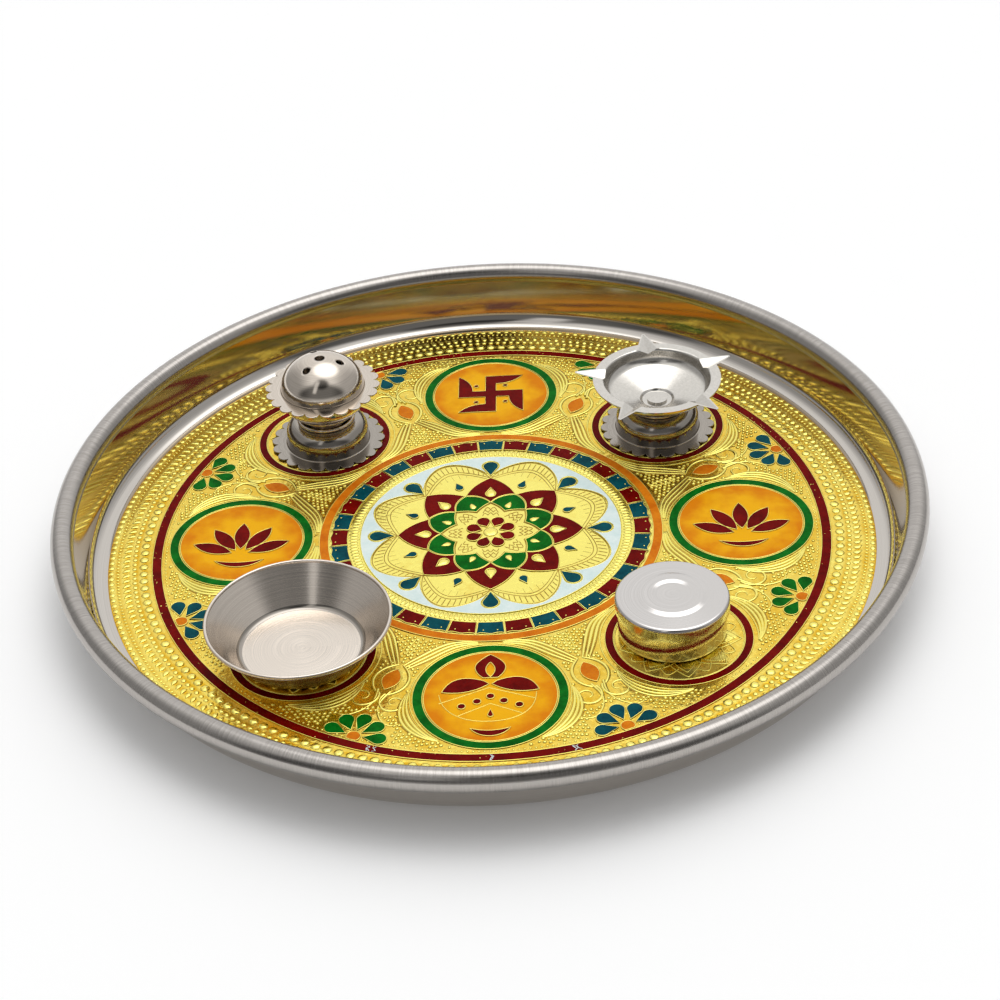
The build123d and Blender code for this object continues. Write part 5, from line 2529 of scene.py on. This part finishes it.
@dataclass
class KumkumBox(Piece):
    """Round box with a press-on lid."""

    axis: Pair = (60.78, -59.58)
    level: float = Levels.seat_top
    sheet: float = 0.5
    lid_radius: float = 19.05
    height: float = 15.6
    corner: float = 2.0
    skirt: float = 5.0
    clearance: float = 0.35
    lid_bend: float = 0.7
    soft_bend: float = 1.6
    crown: float = 0.4
    slope: float = 1.5
    plateau: float = 11.8
    plateau_rise: float = 0.5
    recess: float = 7.4
    recess_depth: float = 0.35

    def build(self) -> list[bpy.types.Object]:
        """Make the box and its lid.

        Returns:
            The pieces.
        """
        bore = self.lid_radius - 2 * self.sheet - self.clearance
        box = sheet_profile(
            [(0.0, self.sheet), (bore, self.sheet), (bore, self.height - self.sheet - self.crown)],
            [0.0, self.corner, 0.0],
            self.sheet,
        )
        top = self.height + self.plateau_rise
        low = top - self.recess_depth
        lid = sheet_profile(
            [
                (0.0, low),
                (self.recess - self.slope, low),
                (self.recess, top),
                (self.plateau - self.slope, top),
                (self.plateau, self.height),
                (self.lid_radius, self.height - self.crown),
                (self.lid_radius, self.height - self.skirt),
            ],
            [0.0, *[self.soft_bend] * 4, self.lid_bend, 0.0],
            self.sheet,
        )
        box_lathe, lid_lathe = (Lathe(shape, self.axis, self.level, 160) for shape in (box, lid))
        return [
            self.studio.spin(box_lathe, "box_body", ["polished"], Body.BOX, "kumkum_box"),
            self.studio.spin(lid_lathe, "box_lid", ["bright"], Body.LID, "kumkum_lid"),
        ]


@dataclass
class PlainSteel(Piece):
    """Steel pieces shown as they are in the frame."""

    nodes: tuple[str, ...] = ("diya_bowl", "diya_rivet", "incense_rivet")

    def build(self) -> None:
        """Give the pieces their steel."""
        for node in self.nodes:
            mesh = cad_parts[node].data
            mesh.materials.clear()
            mesh.materials.append(self.studio.finishes.steel["plain"])
            log.info("%s: steel", node)


@dataclass
class Room:
    """Floor, light and background of the picture."""

    floor_size: float = 9.0
    floor_level: float = -0.0004
    floor_tone: float = 0.95
    floor_glow: float = 0.09
    sun: float = 0.65
    sun_angle_deg: float = 55.0
    sun_heading: tuple[float, float, float] = (-0.15, -0.75, -1.0)
    left: float = 0.4
    right: float = 0.5
    near: float = 0.19
    near_low: float = 0.62
    viewer: tuple[float, float, float] = (0.02, -0.46, 0.89)
    viewer_edge_deg: Pair = (9.0, 21.0)
    viewer_shade: float = 0.8
    strip_deg: float = 249.0
    strip_glow: float = 0.6
    horizon: float = 0.85
    back: float = 0.95
    softbox: tuple[float, float, float] = (0.12, 0.30, 0.95)
    softbox_edge_deg: Pair = (9.0, 28.0)
    softbox_glow: float = 1.5

    def floor(self) -> bpy.types.Object:
        """Make the floor.

        Returns:
            The floor.
        """
        half = self.floor_size / 2
        mesh = bpy.data.meshes.new("floor")
        corners = [(-half, -half), (half, -half), (half, half), (-half, half)]
        mesh.from_pydata([(x, y, self.floor_level) for x, y in corners], [], [(0, 1, 2, 3)])
        graph = SurfaceGraph("floor_paper")
        low, high = self.floor_tone, self.floor_tone + 0.01
        graph.put("Base Color", graph.mix(graph.noise(3.0), (low, low, low), (high, high, high)))
        graph.put("Roughness", 0.9)
        graph.put("Specular IOR Level", 0.0)
        graph.put("Emission Color", WHITE)
        path = graph.node("ShaderNodeLightPath")
        seen = graph.calc("MAXIMUM", path.outputs["Is Camera Ray"], path.outputs["Is Glossy Ray"])
        seen = graph.calc("MAXIMUM", seen, path.outputs["Is Transmission Ray"])
        graph.put("Emission Strength", graph.calc("MULTIPLY", seen, self.floor_glow))
        mesh.materials.append(graph.material)
        made = in_scene("floor", mesh)
        made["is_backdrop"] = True
        return made

    def background(self) -> None:
        """Make the world: white to the camera, and a studio with a dark near side to everything else."""
        world = bpy.data.worlds.new("studio")
        bpy.context.scene.world = world
        world.use_nodes = True
        graph = Graph(world.node_tree)
        calc = graph.calc
        x, y, z = graph.axes()

        def step(value: Socket, old: Pair, new: Pair) -> Socket:
            """Eased step from one range to another."""
            return graph.spread(value, new, old, smooth=True)

        def facing(aim: Sequence[float]) -> Socket:
            """Cosine between the direction looked in and an aim."""
            parts = [calc("MULTIPLY", axis, v) for axis, v in zip((x, y, z), Vector(aim).normalized())]
            return calc("ADD", calc("ADD", parts[0], parts[1]), parts[2])

        def disc(aim: Sequence[float], edge_deg: Pair, glow: float) -> Socket:
            """Round patch of light with a soft edge."""
            inner, outer = (math.cos(math.radians(a)) for a in edge_deg)
            return step(facing(aim), (outer, inner), (0.0, glow))

        def light(strength: Any) -> Socket:
            """White background of a strength."""
            made = graph.node("ShaderNodeBackground")
            graph.feed(made.inputs["Color"], WHITE)
            graph.feed(made.inputs["Strength"], strength)
            return made.outputs[0]

        side = step(x, (-0.85, -0.3), (self.left, 1.0))
        side = calc("MULTIPLY", side, step(x, (0.35, 0.85), (1.0, self.right)))
        dark = step(z, (0.08, 0.26), (self.near_low, self.near))
        away = step(y, (-0.58, -0.26), (0.0, 1.0))
        near = calc("ADD", dark, calc("MULTIPLY", calc("SUBTRACT", 1.0, dark), away))
        rise = step(z, (0.0, 0.35), (self.horizon, self.back))
        wall = calc("MULTIPLY", calc("MULTIPLY", side, near), rise)
        viewer = disc(self.viewer, self.viewer_edge_deg, self.viewer_shade)
        wall = calc("MULTIPLY", wall, calc("SUBTRACT", 1.0, viewer))
        turn = math.radians(self.strip_deg)
        across = calc("ABSOLUTE", facing((-math.sin(turn), math.cos(turn), 0.0)))
        ahead = facing((math.cos(turn), math.sin(turn), 0.0))
        strip = step(across, (0.04, 0.11), (self.strip_glow, 0.0))
        strip = calc("MULTIPLY", strip, step(ahead, (0.25, 0.4), (0.0, 1.0)))
        strip = calc("MULTIPLY", strip, step(z, (0.45, 0.6), (0.0, 1.0)))
        total = calc("ADD", wall, disc(self.softbox, self.softbox_edge_deg, self.softbox_glow))
        path = graph.node("ShaderNodeLightPath")
        seen = calc("MAXIMUM", path.outputs["Is Camera Ray"], path.outputs["Is Transmission Ray"])
        both = graph.node("ShaderNodeMixShader")
        for index, value in enumerate((seen, light(calc("ADD", total, strip)), light(1.0))):
            graph.feed(both.inputs[index], value)
        graph.feed(graph.node("ShaderNodeOutputWorld").inputs["Surface"], both.outputs[0])

    def lamp(self) -> None:
        """Make the one soft sun."""
        data = bpy.data.lights.new("soft_sun", "SUN")
        data.energy = self.sun
        data.angle = math.radians(self.sun_angle_deg)
        made = in_scene("soft_sun", data)
        made.rotation_euler = Vector(self.sun_heading).to_track_quat("-Z", "Y").to_euler()
        made.visible_glossy = False

    def build(self) -> None:
        """Make floor, background and light."""
        self.floor()
        self.background()
        self.lamp()
        bpy.context.scene.view_settings.view_transform = "Standard"


@dataclass
class Camera:
    """Camera of the picture, in metres."""

    place: tuple[float, float, float] = (0.02595, -0.65419, 0.48909)
    target: tuple[float, float, float] = (0.00338, 0.01917, 0.0011)
    roll: float = -0.0615
    lens: float = 82.75

    def build(self) -> bpy.types.Object:
        """Make the camera.

        Returns:
            The camera.
        """
        data = bpy.data.cameras.new("camera")
        data.lens = self.lens
        data.sensor_width = 36.0
        data.clip_start = 0.01
        made = in_scene("camera", data)
        look = Vector(self.target) - Vector(self.place)
        turn = look.to_track_quat("-Z", "Y").to_matrix().to_4x4()
        made.matrix_world = Matrix.Translation(self.place) @ turn @ Matrix.Rotation(self.roll, 4, "Z")
        bpy.context.scene.camera = made
        return made


PIECES = (
    ThaliTray,
    GoldFoil,
    Medallion,
    EnamelInlay,
    IncenseHolder,
    OilLamp,
    OfferingBowl,
    KumkumBox,
    PlainSteel,
)


def main() -> None:
    """Build every piece, the room and the camera, and gather the bounds at the start and the end."""
    logging.basicConfig(level=logging.INFO, format="%(name)s %(message)s")
    studio = Studio(Trees(), Finishes())
    for kind in PIECES:
        kind(studio).build()
    Room().build()
    Camera().build()
    boxes = [[list(corner) for corner in box] for box in (START_BOX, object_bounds())]


if __name__ == "__main__":
    main()
